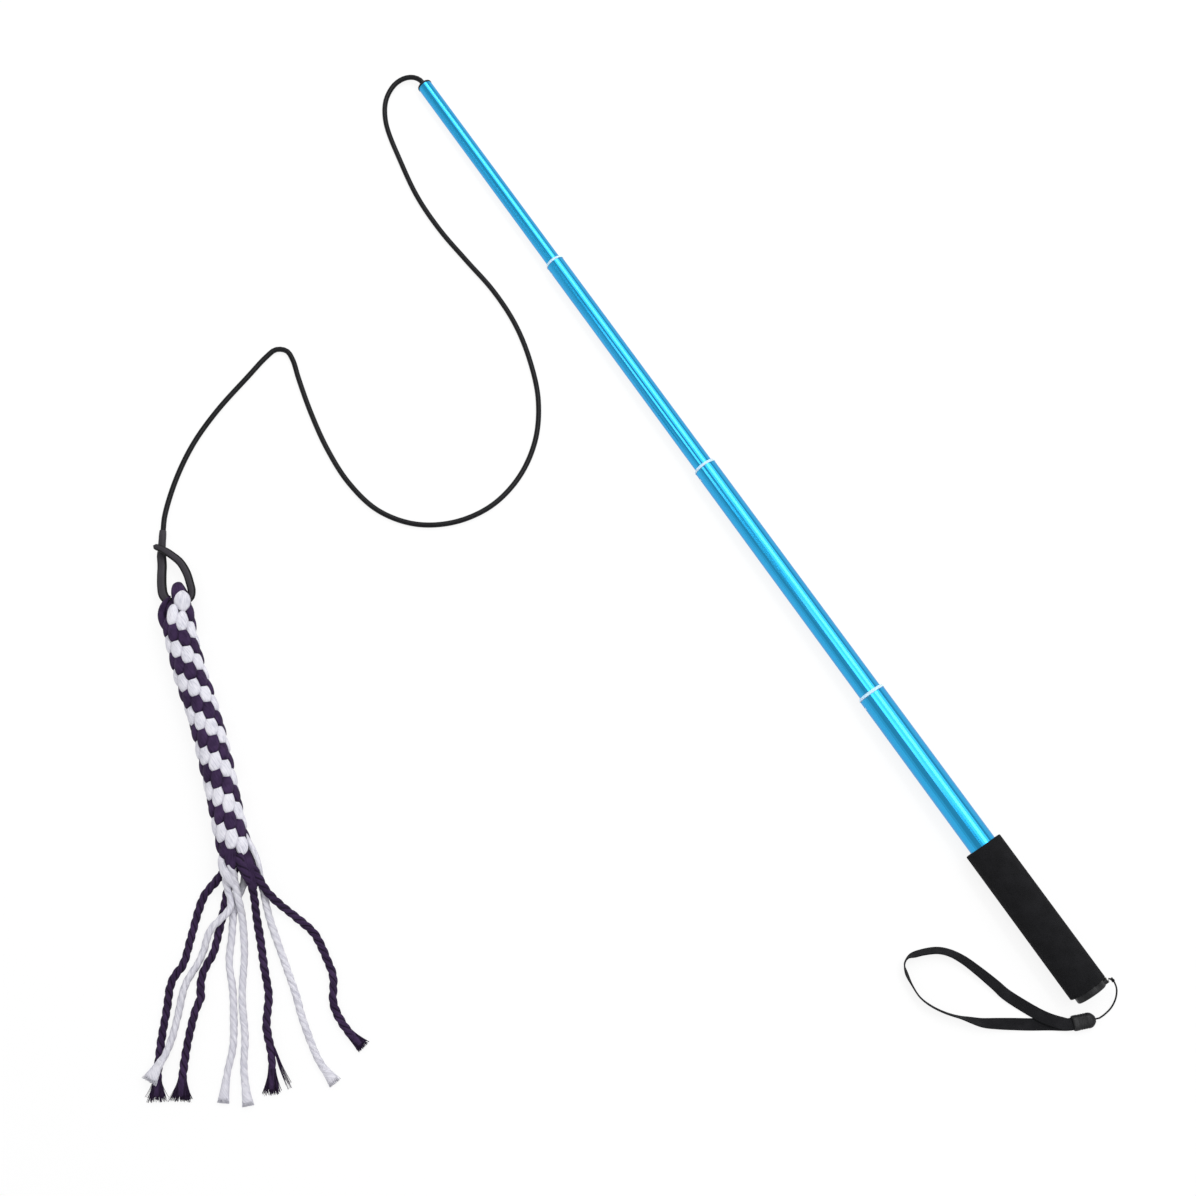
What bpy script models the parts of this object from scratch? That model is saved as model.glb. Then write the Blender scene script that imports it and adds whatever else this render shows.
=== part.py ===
# Telescopic dog chase pole, pulled out on a flat surface, with its cord, braided rope toy and wrist strap.
# Lengths are in metres, +Z is up and z = 0 is the surface.
# The pole runs along +X from its tip to the end of its handle, tilted a little, because it rests on its tip
# and on the front edge of its thicker grip.

import math

import bmesh
import bpy
from mathutils import Matrix, Vector

# Place of the pole's tip on the surface, and how round pieces are faceted
POLE_TIP = (-0.425, 0.2135)
POLE_SIDES = 36
SMALL_SIDES = 20
PEG_SIDES = 10

# Telescopic sections, tip first: each tube slides in the next
TUBE_NAMES = ("tip_tube", "second_tube", "third_tube", "handle_tube")
SECTION_NAMES = ("tip_slide", "second_slide", "third_slide", "handle")
TIP_TUBE_DIAMETER = 0.0114
TUBE_WALL = 0.0005
BUSH_WALL = 0.00055
RUNNING_GAP = 0.0002
SEAT_GAP = 0.0002
TOUCH_GAP = 0.0003
BARE_LENGTHS = (0.1860, 0.1998, 0.2050)
HANDLE_BARE_LENGTH = 0.1292

# White collar in each mouth, and split sleeve on each sliding tube's tail
COLLAR_LENGTH = 0.0022
COLLAR_RIM = 0.0008
COLLAR_NOSE = 0.0006
COLLAR_LIP = 0.0003
COLLAR_SKIRT = 0.0090
COLLAR_PEG_SHARE = 0.62
SLEEVE_LENGTH = 0.0100
SLEEVE_SLIT = 0.0014
TAIL_MARGIN = 0.0006
PEG_RADIUS = 0.0011
PEG_CLEARANCE = 0.00025
PEG_FLUSH = 0.0001
PEG_ROOT = 0.0003

# Black plug in the tip, with the crimped stop that holds the cord behind it
PLUG_RIM = 0.0018
PLUG_DOME = 0.0012
PLUG_SHANK = 0.0100
CORD_DIAMETER = 0.0040
CORD_CLEARANCE = 0.0003
STOP_LENGTH = 0.0080
STOP_DIAMETER = 0.0086
STOP_CHAMFER = 0.0006
CORD_TAIL = 0.0010

# Foam grip and end cap
GRIP_DIAMETER = 0.0282
GRIP_LENGTH = 0.1166
GRIP_EDGE = 0.0008
CAP_DIAMETER = 0.0228
CAP_THICKNESS = 0.0046
CAP_EDGE = 0.0012
CAP_FLOOR = 0.0016
CAP_SPIGOT = 0.0140
CAP_SPIGOT_WALL = 0.0015
EYELET_BOSS_RADIUS = 0.0021
EYELET_BOSS_INSET = 0.0003
EYELET_BORE_DEPTH = 0.0046
EYELET_FLANGE_RADIUS = 0.0023
EYELET_FLANGE = 0.0007
EYELET_BARREL_RADIUS = 0.0013
EYELET_HOLE_RADIUS = 0.0009
EYELET_BARREL = 0.0038

# Wrist strap: a thin cord from the eyelet, a crimp bead, and a loop of flat webbing
THIN_CORD_DIAMETER = 0.0012
WEBBING_WIDTH = 0.0083
WEBBING_THICKNESS = 0.0010
WEBBING_STEP = 0.0050
BEAD_LENGTH = 0.0158
BEAD_WIDTH = 0.0106
BEAD_HEIGHT = 0.0062
BEAD_EDGE = 0.0020
BEAD_HEADING = math.radians(67.4)
BEAD_CENTRE = (0.0144, -0.0283)
BEAD_SLOT_DEPTH = 0.0050
BEAD_SLOT_GAP = 0.0004
BEAD_HOLE_DEPTH = 0.0050
BEAD_HELD_LENGTH = 0.0026
BEAD_LEAD = 0.0030

# Cord from the tip to the eye that holds the toy
SLEEVE_DIAMETER = 0.0052
EYE_DIAMETER = 0.0056
CORD_STEP = 0.0110
EYE_STEP = 0.0040

# Rope toy: a loop round the eye, a square braid with eight columns of beads, and eight loose ends
TOY_PIVOT = (0.2645, -0.3740)
TOY_HEADING = math.radians(-17.46)
ROPE_DIAMETER = 0.0050
LOOP_ROPE_DIAMETER = 0.0054
LOOP_CLEARANCE = 0.0006
LOOP_STEPS = 10
BRAID_START = 0.0058
BRAID_LENGTH = 0.1885
BRAID_DIAMETER = 0.0240
BRAID_BEAD_PITCH = 0.0120
BRAID_BEAD_RELIEF = 0.0009
BRAID_COLUMNS = 8
BRAID_SAMPLES_ACROSS = 3
BRAID_END_ROWS = (0.0, 0.2, 0.6)
BRAID_END_ROUNDING = 0.0036
BRAID_END_FULLNESS = 0.9
BRAID_LEAN = (
    (0.0, -0.0032), (0.010, -0.0046), (0.020, -0.0058), (0.050, -0.0052), (0.065, -0.0038), (0.080, -0.0025),
    (0.100, -0.0018), (0.130, -0.0020), (0.160, -0.0028), (0.1885, -0.0032),
)
TAIL_RING_RADIUS = 0.0084
TAIL_STEP = 0.0070
TAIL_LEAD = 0.0022

# Routes of what lies loose: points chosen along each one, joined by smooth curves.
# The cord's and the eye's are measured from the pole's tip along X and Y. The cord's third value lifts it off
# the surface. The eye's third value is 0 where it lies down and 1 at the height of the toy's pivot.
SURFACE_GAP = 0.0001
CORD_ROUTE = (
    (-0.0060, -0.0006, 0.0039), (-0.0112, -0.0038, 0.0031), (-0.0146, -0.0098, 0.0022),
    (-0.0148, -0.0180, 0.0013), (-0.0108, -0.0270, 0.0006), (-0.0040, -0.0345, 0.0001),
    (0.0115, -0.0430, 0.0), (0.0455, -0.0510, 0.0), (0.0800, -0.0566, 0.0),
    (0.1142, -0.0572, 0.0), (0.1475, -0.0542, 0.0), (0.1800, -0.0509, 0.0),
    (0.2130, -0.0522, 0.0), (0.2450, -0.0595, 0.0), (0.2752, -0.0719, 0.0),
    (0.3007, -0.0914, 0.0), (0.3183, -0.1173, 0.0), (0.3258, -0.1466, 0.0),
    (0.3215, -0.1758, 0.0), (0.3065, -0.2012, 0.0), (0.2821, -0.2185, 0.0),
    (0.2518, -0.2252, 0.0), (0.2201, -0.2246, 0.0), (0.1881, -0.2197, 0.0),
    (0.1590, -0.2130, 0.0), (0.1435, -0.2088, 0.0), (0.1345, -0.2088, 0.0),
    (0.1290, -0.2150, 0.0), (0.1300, -0.2240, 0.0), (0.1362, -0.2440, 0.0),
    (0.1471, -0.2772, 0.0), (0.1600, -0.3052, 0.0), (0.1774, -0.3304, 0.0),
    (0.1975, -0.3516, 0.0001), (0.2070, -0.3584, 0.0004),
)
SLEEVE_ENDS = ((0.2073, -0.35862), (0.2184, -0.36600))
EYE_ROUTE = (
    (0.2187, -0.3662, 0.0), (0.2226, -0.3686, 0.02), (0.2310, -0.3726, 0.16),
    (0.2380, -0.3764, 0.45), (0.2460, -0.3802, 0.82), (0.2530, -0.3826, 0.98),
    (0.2593, -0.3816, 1.0), (0.26345, -0.37734, 1.0), (0.26450, -0.37400, 1.0),
    (0.26555, -0.37066, 1.0), (0.2650, -0.3668, 1.0), (0.2612, -0.3638, 1.0),
    (0.2556, -0.3620, 1.0), (0.2479, -0.3602, 1.0), (0.2383, -0.3600, 1.02),
    (0.2299, -0.3625, 1.05), (0.2230, -0.3656, 1.06), (0.2164, -0.3700, 1.02),
)

# The rope ends' routes start on a ring on the braid's end, at the angle in degrees given first, and are
# measured along the toy from there, across it, and as a lift off the surface.
TAIL_ROUTES = {
    "rope_end_white_1": (
        157.5,
        (0.0067, -0.0124, 0.0106), (0.0120, -0.0138, 0.0084), (0.0180, -0.0142, 0.0066),
        (0.0244, -0.0142, 0.0055), (0.0300, -0.0162, 0.0054), (0.0350, -0.0236, 0.0056),
        (0.0395, -0.0315, 0.0044), (0.0450, -0.0365, 0.0020), (0.0511, -0.0402, 0.0001),
        (0.0588, -0.0460, 0.0), (0.0709, -0.0579, 0.0), (0.0904, -0.0677, 0.0),
        (0.1035, -0.0746, 0.0004), (0.1128, -0.0807, 0.0030), (0.1185, -0.0860, 0.0054),
        (0.1265, -0.0940, 0.0052),
    ),
    "rope_end_white_2": (
        -67.5,
        (0.0070, -0.0008, 0.0004), (0.0123, -0.0026, 0.0), (0.0170, -0.0052, 0.0),
        (0.0215, -0.0086, 0.0), (0.0270, -0.0122, 0.0), (0.0331, -0.0153, 0.0),
        (0.0389, -0.0173, 0.0), (0.0476, -0.0199, 0.0), (0.0647, -0.0257, 0.0),
        (0.0829, -0.0275, 0.0), (0.0950, -0.0297, 0.0), (0.1195, -0.0357, 0.0),
        (0.1355, -0.0433, 0.0), (0.1537, -0.0505, 0.0),
    ),
    "rope_end_white_3": (
        112.5,
        (0.0062, -0.0068, 0.0146), (0.0120, -0.0076, 0.0112), (0.0180, -0.0083, 0.0084),
        (0.0235, -0.0087, 0.0070), (0.0290, -0.0090, 0.0050), (0.0357, -0.0098, 0.0016),
        (0.0438, -0.0110, 0.0), (0.0618, -0.0143, 0.0), (0.0819, -0.0203, 0.0),
        (0.0936, -0.0232, 0.0), (0.1157, -0.0265, 0.0), (0.1368, -0.0321, 0.0),
        (0.1603, -0.0349, 0.0),
    ),
    "rope_end_white_4": (
        -22.5,
        (0.0070, 0.0066, 0.0040), (0.0140, 0.0076, 0.0010), (0.0208, 0.0079, 0.0),
        (0.0430, 0.0078, 0.0), (0.0625, 0.0095, 0.0), (0.0806, 0.0114, 0.0),
        (0.0992, 0.0132, 0.0), (0.1133, 0.0136, 0.0), (0.1351, 0.0160, 0.0),
        (0.1462, 0.0182, 0.0), (0.1624, 0.0248, 0.0),
    ),
    "rope_end_purple_1": (
        -157.5,
        (0.0036, -0.0132, 0.0058), (0.0085, -0.0212, 0.0032), (0.0154, -0.0318, 0.0004),
        (0.0239, -0.0379, 0.0), (0.0414, -0.0475, 0.0), (0.0575, -0.0568, 0.0),
        (0.0630, -0.0636, 0.0), (0.0691, -0.0681, 0.0), (0.0822, -0.0732, 0.0),
        (0.1027, -0.0818, 0.0), (0.1235, -0.0888, 0.0), (0.1392, -0.0930, 0.0),
    ),
    "rope_end_purple_2": (
        -112.5,
        (0.0062, -0.0098, 0.0004), (0.0158, -0.0154, 0.0), (0.0224, -0.0184, 0.0),
        (0.0288, -0.0213, 0.0), (0.0410, -0.0272, 0.0), (0.0558, -0.0350, 0.0),
        (0.0606, -0.0396, 0.0), (0.0666, -0.0446, 0.0), (0.0738, -0.0479, 0.0),
        (0.0824, -0.0499, 0.0), (0.0890, -0.0547, 0.0), (0.1050, -0.0630, 0.0),
        (0.1212, -0.0699, 0.0), (0.1437, -0.0775, 0.0),
    ),
    "rope_end_purple_3": (
        67.5,
        (0.0112, 0.0016, 0.0140), (0.0192, 0.0022, 0.0076), (0.0281, 0.0012, 0.0024),
        (0.0375, -0.0004, 0.0), (0.0561, -0.0017, 0.0), (0.0743, -0.0034, 0.0),
        (0.0939, -0.0048, 0.0), (0.1036, -0.0079, 0.0), (0.1132, -0.0109, 0.0),
        (0.1338, -0.0122, 0.0), (0.1566, -0.0176, 0.0),
    ),
    "rope_end_purple_4": (
        22.5,
        (0.0097, 0.0068, 0.0116), (0.0174, 0.0088, 0.0092), (0.0256, 0.0112, 0.0060),
        (0.0329, 0.0150, 0.0034), (0.0395, 0.0194, 0.0010), (0.0460, 0.0242, 0.0),
        (0.0616, 0.0347, 0.0), (0.0709, 0.0374, 0.0), (0.0820, 0.0393, 0.0),
        (0.0930, 0.0406, 0.0), (0.1018, 0.0388, 0.0), (0.1095, 0.0366, 0.0),
        (0.1167, 0.0368, 0.0), (0.1243, 0.0386, 0.0), (0.1322, 0.0416, 0.0),
        (0.1449, 0.0485, 0.0),
    ),
}

# The strap's routes are measured from its pivot along X and Y. The thin cord's third value lifts it off the
# surface. The webbing's are its roll in degrees, 90 on edge, and its lift. Both begin or end at the bead.
THIN_CORD_ROUTE = (
    (0.0007, 0.0009, 0.0144), (0.0022, 0.0021, 0.0132), (0.0054, 0.0028, 0.0104),
    (0.0100, 0.0021, 0.0066), (0.0146, -0.0013, 0.0032), (0.0178, -0.0069, 0.0012),
    (0.0188, -0.0137, 0.0014),
)
WEBBING_ROUTE = (
    (0.0070, -0.0431, 0, 0.0006),
    (0.0032, -0.0484, 0, 0.0001),
    (-0.0043, -0.0598, 2, 0.0),
    (-0.0113, -0.0698, 12, 0.0),
    (-0.0172, -0.0782, 24, 0.0),
    (-0.0233, -0.0864, 40, 0.0),
    (-0.0298, -0.0926, 60, 0.0),
    (-0.0344, -0.0967, 74, 0.0),
    (-0.0425, -0.1034, 78, 0.0),
    (-0.0522, -0.1090, 78, 0.0),
    (-0.0606, -0.1116, 78, 0.0),
    (-0.0698, -0.1113, 76, 0.0),
    (-0.0786, -0.1097, 68, 0.0),
    (-0.0841, -0.1073, 82, 0.0),
    (-0.0862, -0.1037, 90, 0.0),
    (-0.0858, -0.0989, 98, 0.0),
    (-0.0836, -0.0918, 106, 0.0),
    (-0.0788, -0.0825, 112, 0.0),
    (-0.0729, -0.0767, 120, 0.0),
    (-0.0640, -0.0717, 133, 0.0),
    (-0.0524, -0.0676, 146, 0.0),
    (-0.0377, -0.0633, 162, 0.0),
    (-0.0296, -0.0613, 170, 0.0),
    (-0.0139, -0.0546, 178, 0.0005),
    (-0.0049, -0.0502, 180, 0.0018),
    (0.0012, -0.0463, 180, 0.0024),
    (0.0072, -0.0413, 180, 0.0028),
)


def material(name, colour, roughness, metallic=0.0):
    """A Principled material in one plain colour."""
    made = bpy.data.materials.new(name)
    made.use_nodes = True
    shader = made.node_tree.nodes["Principled BSDF"]
    shader.inputs["Base Color"].default_value = (*colour, 1.0)
    shader.inputs["Roughness"].default_value = roughness
    shader.inputs["Metallic"].default_value = metallic
    made.diffuse_color = (*colour, 1.0)
    return made


def empty(name, location, parent=None, rotation=(0.0, 0.0, 0.0)):
    """An empty that carries the pieces of one moving body."""
    made = bpy.data.objects.new(name, None)
    made.location = location
    made.rotation_euler = rotation
    made.parent = parent
    made.empty_display_size = 0.01
    bpy.context.collection.objects.link(made)
    return made


def link(name, data, finish, parent):
    """Link an object for mesh or curve data, with its material and its parent."""
    made = bpy.data.objects.new(name, data)
    data.materials.append(finish)
    made.parent = parent
    bpy.context.collection.objects.link(made)
    return made


def mesh_object(name, bm, finish, parent, sharp_angle=35.0):
    """Turn a bmesh into an object with smooth shading that keeps its sharp edges."""
    bmesh.ops.recalc_face_normals(bm, faces=bm.faces)
    mesh = bpy.data.meshes.new(name)
    bm.to_mesh(mesh)
    bm.free()
    mesh.shade_smooth()
    mesh.set_sharp_from_angle(angle=math.radians(sharp_angle))
    return link(name, mesh, finish, parent)


def arc(centre, radius, start, end, steps):
    """Points (x, r) on a quarter or other arc, angles in degrees from +x towards +r."""
    points = []
    for step in range(steps + 1):
        angle = math.radians(start + (end - start) * step / steps)
        points.append((centre[0] + radius * math.cos(angle), centre[1] + radius * math.sin(angle)))
    return points


def turned(outline, sides, closed=True):
    """A bmesh turned about X from an outline of (x, r) points; an open outline starts and ends on the axis."""
    bm = bmesh.new()
    verts = [bm.verts.new((x, 0.0, r)) for x, r in outline]
    pairs = list(zip(verts, verts[1:]))
    if closed:
        pairs.append((verts[-1], verts[0]))
    edges = [bm.edges.new(pair) for pair in pairs]
    bmesh.ops.spin(
        bm, geom=verts + edges, axis=(1, 0, 0), cent=(0, 0, 0), angle=math.tau, steps=sides, use_merge=True
    )
    bmesh.ops.remove_doubles(bm, verts=bm.verts, dist=1e-7)
    return bm


def cylinder(name, radius, start, end, sides):
    """A plain cylinder between two points, used as a cutter or as a boss to join on."""
    start, end = Vector(start), Vector(end)
    length = (end - start).length
    turn = (end - start).to_track_quat("Z", "Y").to_matrix().to_4x4()
    bm = bmesh.new()
    bmesh.ops.create_cone(
        bm, cap_ends=True, segments=sides, radius1=radius, radius2=radius, depth=length,
        matrix=Matrix.Translation((start + end) / 2) @ turn,
    )
    mesh = bpy.data.meshes.new(name)
    bm.to_mesh(mesh)
    bm.free()
    made = bpy.data.objects.new(name, mesh)
    bpy.context.collection.objects.link(made)
    return made


def block(name, size, centre):
    """A plain box, used as a cutter."""
    bm = bmesh.new()
    bmesh.ops.create_cube(bm, size=1.0, matrix=Matrix.Translation(centre) @ Matrix.Diagonal((*size, 1.0)))
    mesh = bpy.data.meshes.new(name)
    bm.to_mesh(mesh)
    bm.free()
    made = bpy.data.objects.new(name, mesh)
    bpy.context.collection.objects.link(made)
    return made


def combine(target, tool, operation):
    """Join tool to target, or cut it out, and keep tool as a hidden guide in the target's own frame."""
    tool.parent = target
    tool.hide_render = True
    tool.display_type = "WIRE"
    step = target.modifiers.new(tool.name, "BOOLEAN")
    step.operation = operation
    step.solver = "EXACT"
    step.object = tool


def smooth_route(points, step):
    """Evenly spaced points on a smooth curve through the given ones; values after x, y and z follow along."""
    points = [Vector(point) for point in points]
    ghosts = [2 * points[0] - points[1], *points, 2 * points[-1] - points[-2]]
    fine = []
    samples = 24
    for before, here, there, after in zip(ghosts, ghosts[1:], ghosts[2:], ghosts[3:]):
        knots = [0.0]
        for a, b in ((before, here), (here, there), (there, after)):
            knots.append(knots[-1] + math.dist(a[:3], b[:3]) ** 0.5)
        for sample in range(samples):
            t = knots[1] + (knots[2] - knots[1]) * sample / samples
            fine.append(spline_point((before, here, there, after), knots, t))
    fine.append(points[-1])
    return evenly_spaced(fine, step)


def spline_point(corners, knots, t):
    """The point at t on the Catmull-Rom curve through four points with the given knots."""
    level = list(corners)
    for spans in (((0, 1), (1, 2), (2, 3)), ((0, 2), (1, 3)), ((1, 2),)):
        pairs = zip(level, level[1:], spans)
        level = [blend_between(a, b, knots[low], knots[high], t) for a, b, (low, high) in pairs]
    return level[0]


def blend_between(first, second, low, high, t):
    """The point between first and second that t marks between low and high."""
    return first * ((high - t) / (high - low)) + second * ((t - low) / (high - low))


def evenly_spaced(fine, step):
    """Points a constant distance apart along a line of many short pieces, with both ends kept."""
    lengths = [0.0]
    for a, b in zip(fine, fine[1:]):
        lengths.append(lengths[-1] + math.dist(a[:3], b[:3]))
    count = max(2, round(lengths[-1] / step))
    spaced = []
    piece = 0
    for index in range(count + 1):
        wanted = lengths[-1] * index / count
        while piece < len(fine) - 2 and lengths[piece + 1] < wanted:
            piece += 1
        share = (wanted - lengths[piece]) / max(lengths[piece + 1] - lengths[piece], 1e-9)
        spaced.append(fine[piece].lerp(fine[piece + 1], min(1.0, share)))
    return spaced


def kept_above(points, lowest):
    """The same points, none of them lower than the given height."""
    return [Vector((point.x, point.y, max(point.z, lowest))) for point in points]


def tube_along(name, points, radius, finish, parent, resolution=2):
    """A round tube with filled ends along a line of points, in the parent's frame."""
    curve = bpy.data.curves.new(name, "CURVE")
    curve.dimensions = "3D"
    curve.bevel_depth = radius
    curve.bevel_resolution = resolution
    curve.use_fill_caps = True
    spline = curve.splines.new("POLY")
    spline.points.add(len(points) - 1)
    for target, point in zip(spline.points, points):
        target.co = (*point, 1.0)
    return link(name, curve, finish, parent)


def outer_radius(section):
    """Outer radius of a tube: each is larger by a running gap, a bush, a seat gap and its own wall."""
    step = RUNNING_GAP + BUSH_WALL + SEAT_GAP + TUBE_WALL
    return TIP_TUBE_DIAMETER / 2 + section * step


def collar_front(section):
    """Distance from the tip to the front of the piece in a tube's mouth: the plug, or a collar."""
    position = 0.0
    for index in range(section):
        position += (PLUG_RIM if index == 0 else COLLAR_LENGTH) + BARE_LENGTHS[index]
    return position


def tube_front(section):
    """Distance from the tip to a tube's front edge."""
    return collar_front(section) + (PLUG_RIM if section == 0 else COLLAR_LENGTH) + TOUCH_GAP


def grip_front():
    """Distance from the tip to the front of the foam grip."""
    return collar_front(3) + COLLAR_LENGTH + HANDLE_BARE_LENGTH


def grip_end():
    """Distance from the tip to the back of the foam grip and of the handle tube."""
    return grip_front() + GRIP_LENGTH


def sleeve_front(section):
    """Front of a sliding tube's sleeve, which stops against the skirt of the next tube's collar."""
    return collar_front(section + 1) + COLLAR_LENGTH + COLLAR_SKIRT + TOUCH_GAP


def tube_end(section):
    """Distance from the tip to a tube's back edge."""
    if section == 3:
        return grip_end()
    return sleeve_front(section) + SLEEVE_LENGTH + TAIL_MARGIN


def collar_peg():
    """Distance from a tube's front edge to the pegs of the collar in its mouth."""
    return COLLAR_SKIRT * COLLAR_PEG_SHARE


def sleeve_peg():
    """Distance from a sleeve's front to its pegs."""
    return SLEEVE_LENGTH / 2


def pole_tilt():
    """Angle that lifts the handle: the tip's rim and the grip's front edge touch the surface."""
    rise = GRIP_DIAMETER / 2 - (outer_radius(0) + COLLAR_LIP)
    return math.atan2(rise, grip_front() + GRIP_EDGE - PLUG_DOME)


def tip_height():
    """Height of the pole's axis at the very tip."""
    return (outer_radius(0) + COLLAR_LIP) * math.cos(pole_tilt()) - PLUG_DOME * math.sin(pole_tilt())


def make_tube(section, finish, parent):
    """One tube, with peg holes on both sides at its mouth and at its tail."""
    front, end = tube_front(section), tube_end(section)
    outer = outer_radius(section)
    inner = outer - TUBE_WALL
    bm = turned([(front, inner), (front, outer), (end, outer), (end, inner)], POLE_SIDES)
    tube = mesh_object(TUBE_NAMES[section], bm, finish, parent)
    places = []
    if section > 0:
        places.append(front + collar_peg())
    if section < 3:
        places.append(sleeve_front(section) + sleeve_peg())
    for index, x in enumerate(places):
        reach = outer * 1.2
        name = f"{TUBE_NAMES[section]}_holes_{index}"
        cutter = cylinder(name, PEG_RADIUS + PEG_CLEARANCE, (x, -reach, 0), (x, reach, 0), PEG_SIDES)
        combine(tube, cutter, "DIFFERENCE")
    return tube


def add_pegs(ring, x, low, high):
    """Join two pegs to a ring, one on each side, between the given radii."""
    for side in (-1, 1):
        name = f"{ring.name}_peg_{side + 1}"
        peg = cylinder(name, PEG_RADIUS, (x, side * low, 0), (x, side * high, 0), PEG_SIDES)
        combine(ring, peg, "UNION")


def make_collar(section, finish, parent):
    """Collar in a tube's mouth: a coned flange over the cut edge, and a skirt whose pegs snap into the tube."""
    front = collar_front(section)
    bore = outer_radius(section - 1) + RUNNING_GAP
    skirt = bore + BUSH_WALL
    flange = outer_radius(section) + COLLAR_LIP
    back = front + COLLAR_LENGTH
    outline = [
        (front, bore),
        (front, bore + COLLAR_NOSE),
        (back - COLLAR_RIM, flange),
        (back, flange),
        (back, skirt),
        (back + COLLAR_SKIRT, skirt),
        (back + COLLAR_SKIRT, bore),
    ]
    collar = mesh_object(f"mouth_collar_{section}", turned(outline, POLE_SIDES), finish, parent)
    x = tube_front(section) + collar_peg()
    add_pegs(collar, x, skirt - PEG_ROOT, outer_radius(section) - PEG_FLUSH)
    return collar


def make_sleeve(section, finish, parent):
    """Split friction sleeve on a sliding tube's tail: its pegs sit in the tube's holes."""
    front = sleeve_front(section)
    bore = outer_radius(section) + SEAT_GAP
    outer = bore + BUSH_WALL
    outline = [(front, bore), (front, outer), (front + SLEEVE_LENGTH, outer), (front + SLEEVE_LENGTH, bore)]
    sleeve = mesh_object(f"friction_sleeve_{section + 1}", turned(outline, POLE_SIDES), finish, parent)
    add_pegs(sleeve, front + sleeve_peg(), bore + PEG_ROOT, outer_radius(section) - TUBE_WALL + PEG_FLUSH)
    slit = block(
        f"{sleeve.name}_slit",
        (SLEEVE_LENGTH * 1.5, SLEEVE_SLIT, outer),
        (front + SLEEVE_LENGTH / 2, 0.0, bore + BUSH_WALL / 2),
    )
    combine(sleeve, slit, "DIFFERENCE")
    return sleeve


def make_plug(finish, parent):
    """Domed plug in the tip tube: the cord runs through its bore."""
    rim = outer_radius(0) + COLLAR_LIP
    shank = outer_radius(0) - TUBE_WALL - SEAT_GAP
    bore = CORD_DIAMETER / 2 + CORD_CLEARANCE
    nose = arc((PLUG_DOME, rim - PLUG_DOME), PLUG_DOME, 180, 90, 4)
    outline = [(0.0, bore), *nose, (PLUG_RIM, rim), (PLUG_RIM, shank), (PLUG_RIM + PLUG_SHANK, shank)]
    outline.append((PLUG_RIM + PLUG_SHANK, bore))
    return mesh_object("tip_plug", turned(outline, POLE_SIDES), finish, parent)


def cord_stop_front():
    """Distance from the tip to the crimped stop behind the plug."""
    return PLUG_RIM + PLUG_SHANK + TOUCH_GAP


def make_cord_stop(finish, parent):
    """Crimped metal stop on the cord's inner end, which can't pass the plug's bore."""
    front = cord_stop_front()
    end = front + STOP_LENGTH
    outer = STOP_DIAMETER / 2
    bore = CORD_DIAMETER / 2 + SEAT_GAP
    outline = [
        (front, bore),
        (front, outer - STOP_CHAMFER),
        (front + STOP_CHAMFER, outer),
        (end - STOP_CHAMFER, outer),
        (end, outer - STOP_CHAMFER),
        (end, bore),
    ]
    return mesh_object("cord_stop", turned(outline, SMALL_SIDES), finish, parent)


def make_grip(finish, parent):
    """Foam tube round the back of the handle tube, with softly rounded ends."""
    front, end = grip_front(), grip_end()
    bore = outer_radius(3) + SEAT_GAP
    outer = GRIP_DIAMETER / 2
    outline = [(front, bore)]
    outline += arc((front + GRIP_EDGE, outer - GRIP_EDGE), GRIP_EDGE, 180, 90, 3)
    outline += arc((end - GRIP_EDGE, outer - GRIP_EDGE), GRIP_EDGE, 90, 0, 3)
    outline.append((end, bore))
    return mesh_object("foam_grip", turned(outline, POLE_SIDES), finish, parent)


def cap_front():
    """Distance from the tip to the end cap's flange."""
    return grip_end() + TOUCH_GAP


def eyelet_place():
    """Distance from the tip to the eyelet, and its mouth's distance from the pole's axis."""
    return cap_front() + CAP_THICKNESS / 2, GRIP_DIAMETER / 2 - EYELET_BOSS_INSET


def make_cap(finish, parent):
    """End cap: a disc with a rounded edge, a hollow spigot in the tube, and a boss for the strap's eyelet."""
    front = cap_front()
    back = front + CAP_THICKNESS
    rim = CAP_DIAMETER / 2
    spigot = outer_radius(3) - TUBE_WALL - SEAT_GAP
    hollow = spigot - CAP_SPIGOT_WALL
    outline = [(back, 0.0)]
    outline += arc((back - CAP_EDGE, rim - CAP_EDGE), CAP_EDGE, 0, 90, 4)
    outline += [
        (front, rim),
        (front, spigot),
        (front - CAP_SPIGOT, spigot),
        (front - CAP_SPIGOT, hollow),
        (back - CAP_FLOOR, hollow),
        (back - CAP_FLOOR, 0.0),
    ]
    cap = mesh_object("end_cap", turned(outline, POLE_SIDES, closed=False), finish, parent)
    x, mouth = eyelet_place()
    root = spigot - CAP_SPIGOT_WALL / 2
    boss = cylinder("eyelet_boss", EYELET_BOSS_RADIUS, (x, root, 0), (x, mouth, 0), SMALL_SIDES)
    combine(cap, boss, "UNION")
    bore_radius = EYELET_BARREL_RADIUS + TOUCH_GAP
    floor = mouth - EYELET_BORE_DEPTH
    bore = cylinder("eyelet_bore", bore_radius, (x, floor, 0), (x, mouth * 2, 0), SMALL_SIDES)
    combine(cap, bore, "DIFFERENCE")
    return cap


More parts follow.
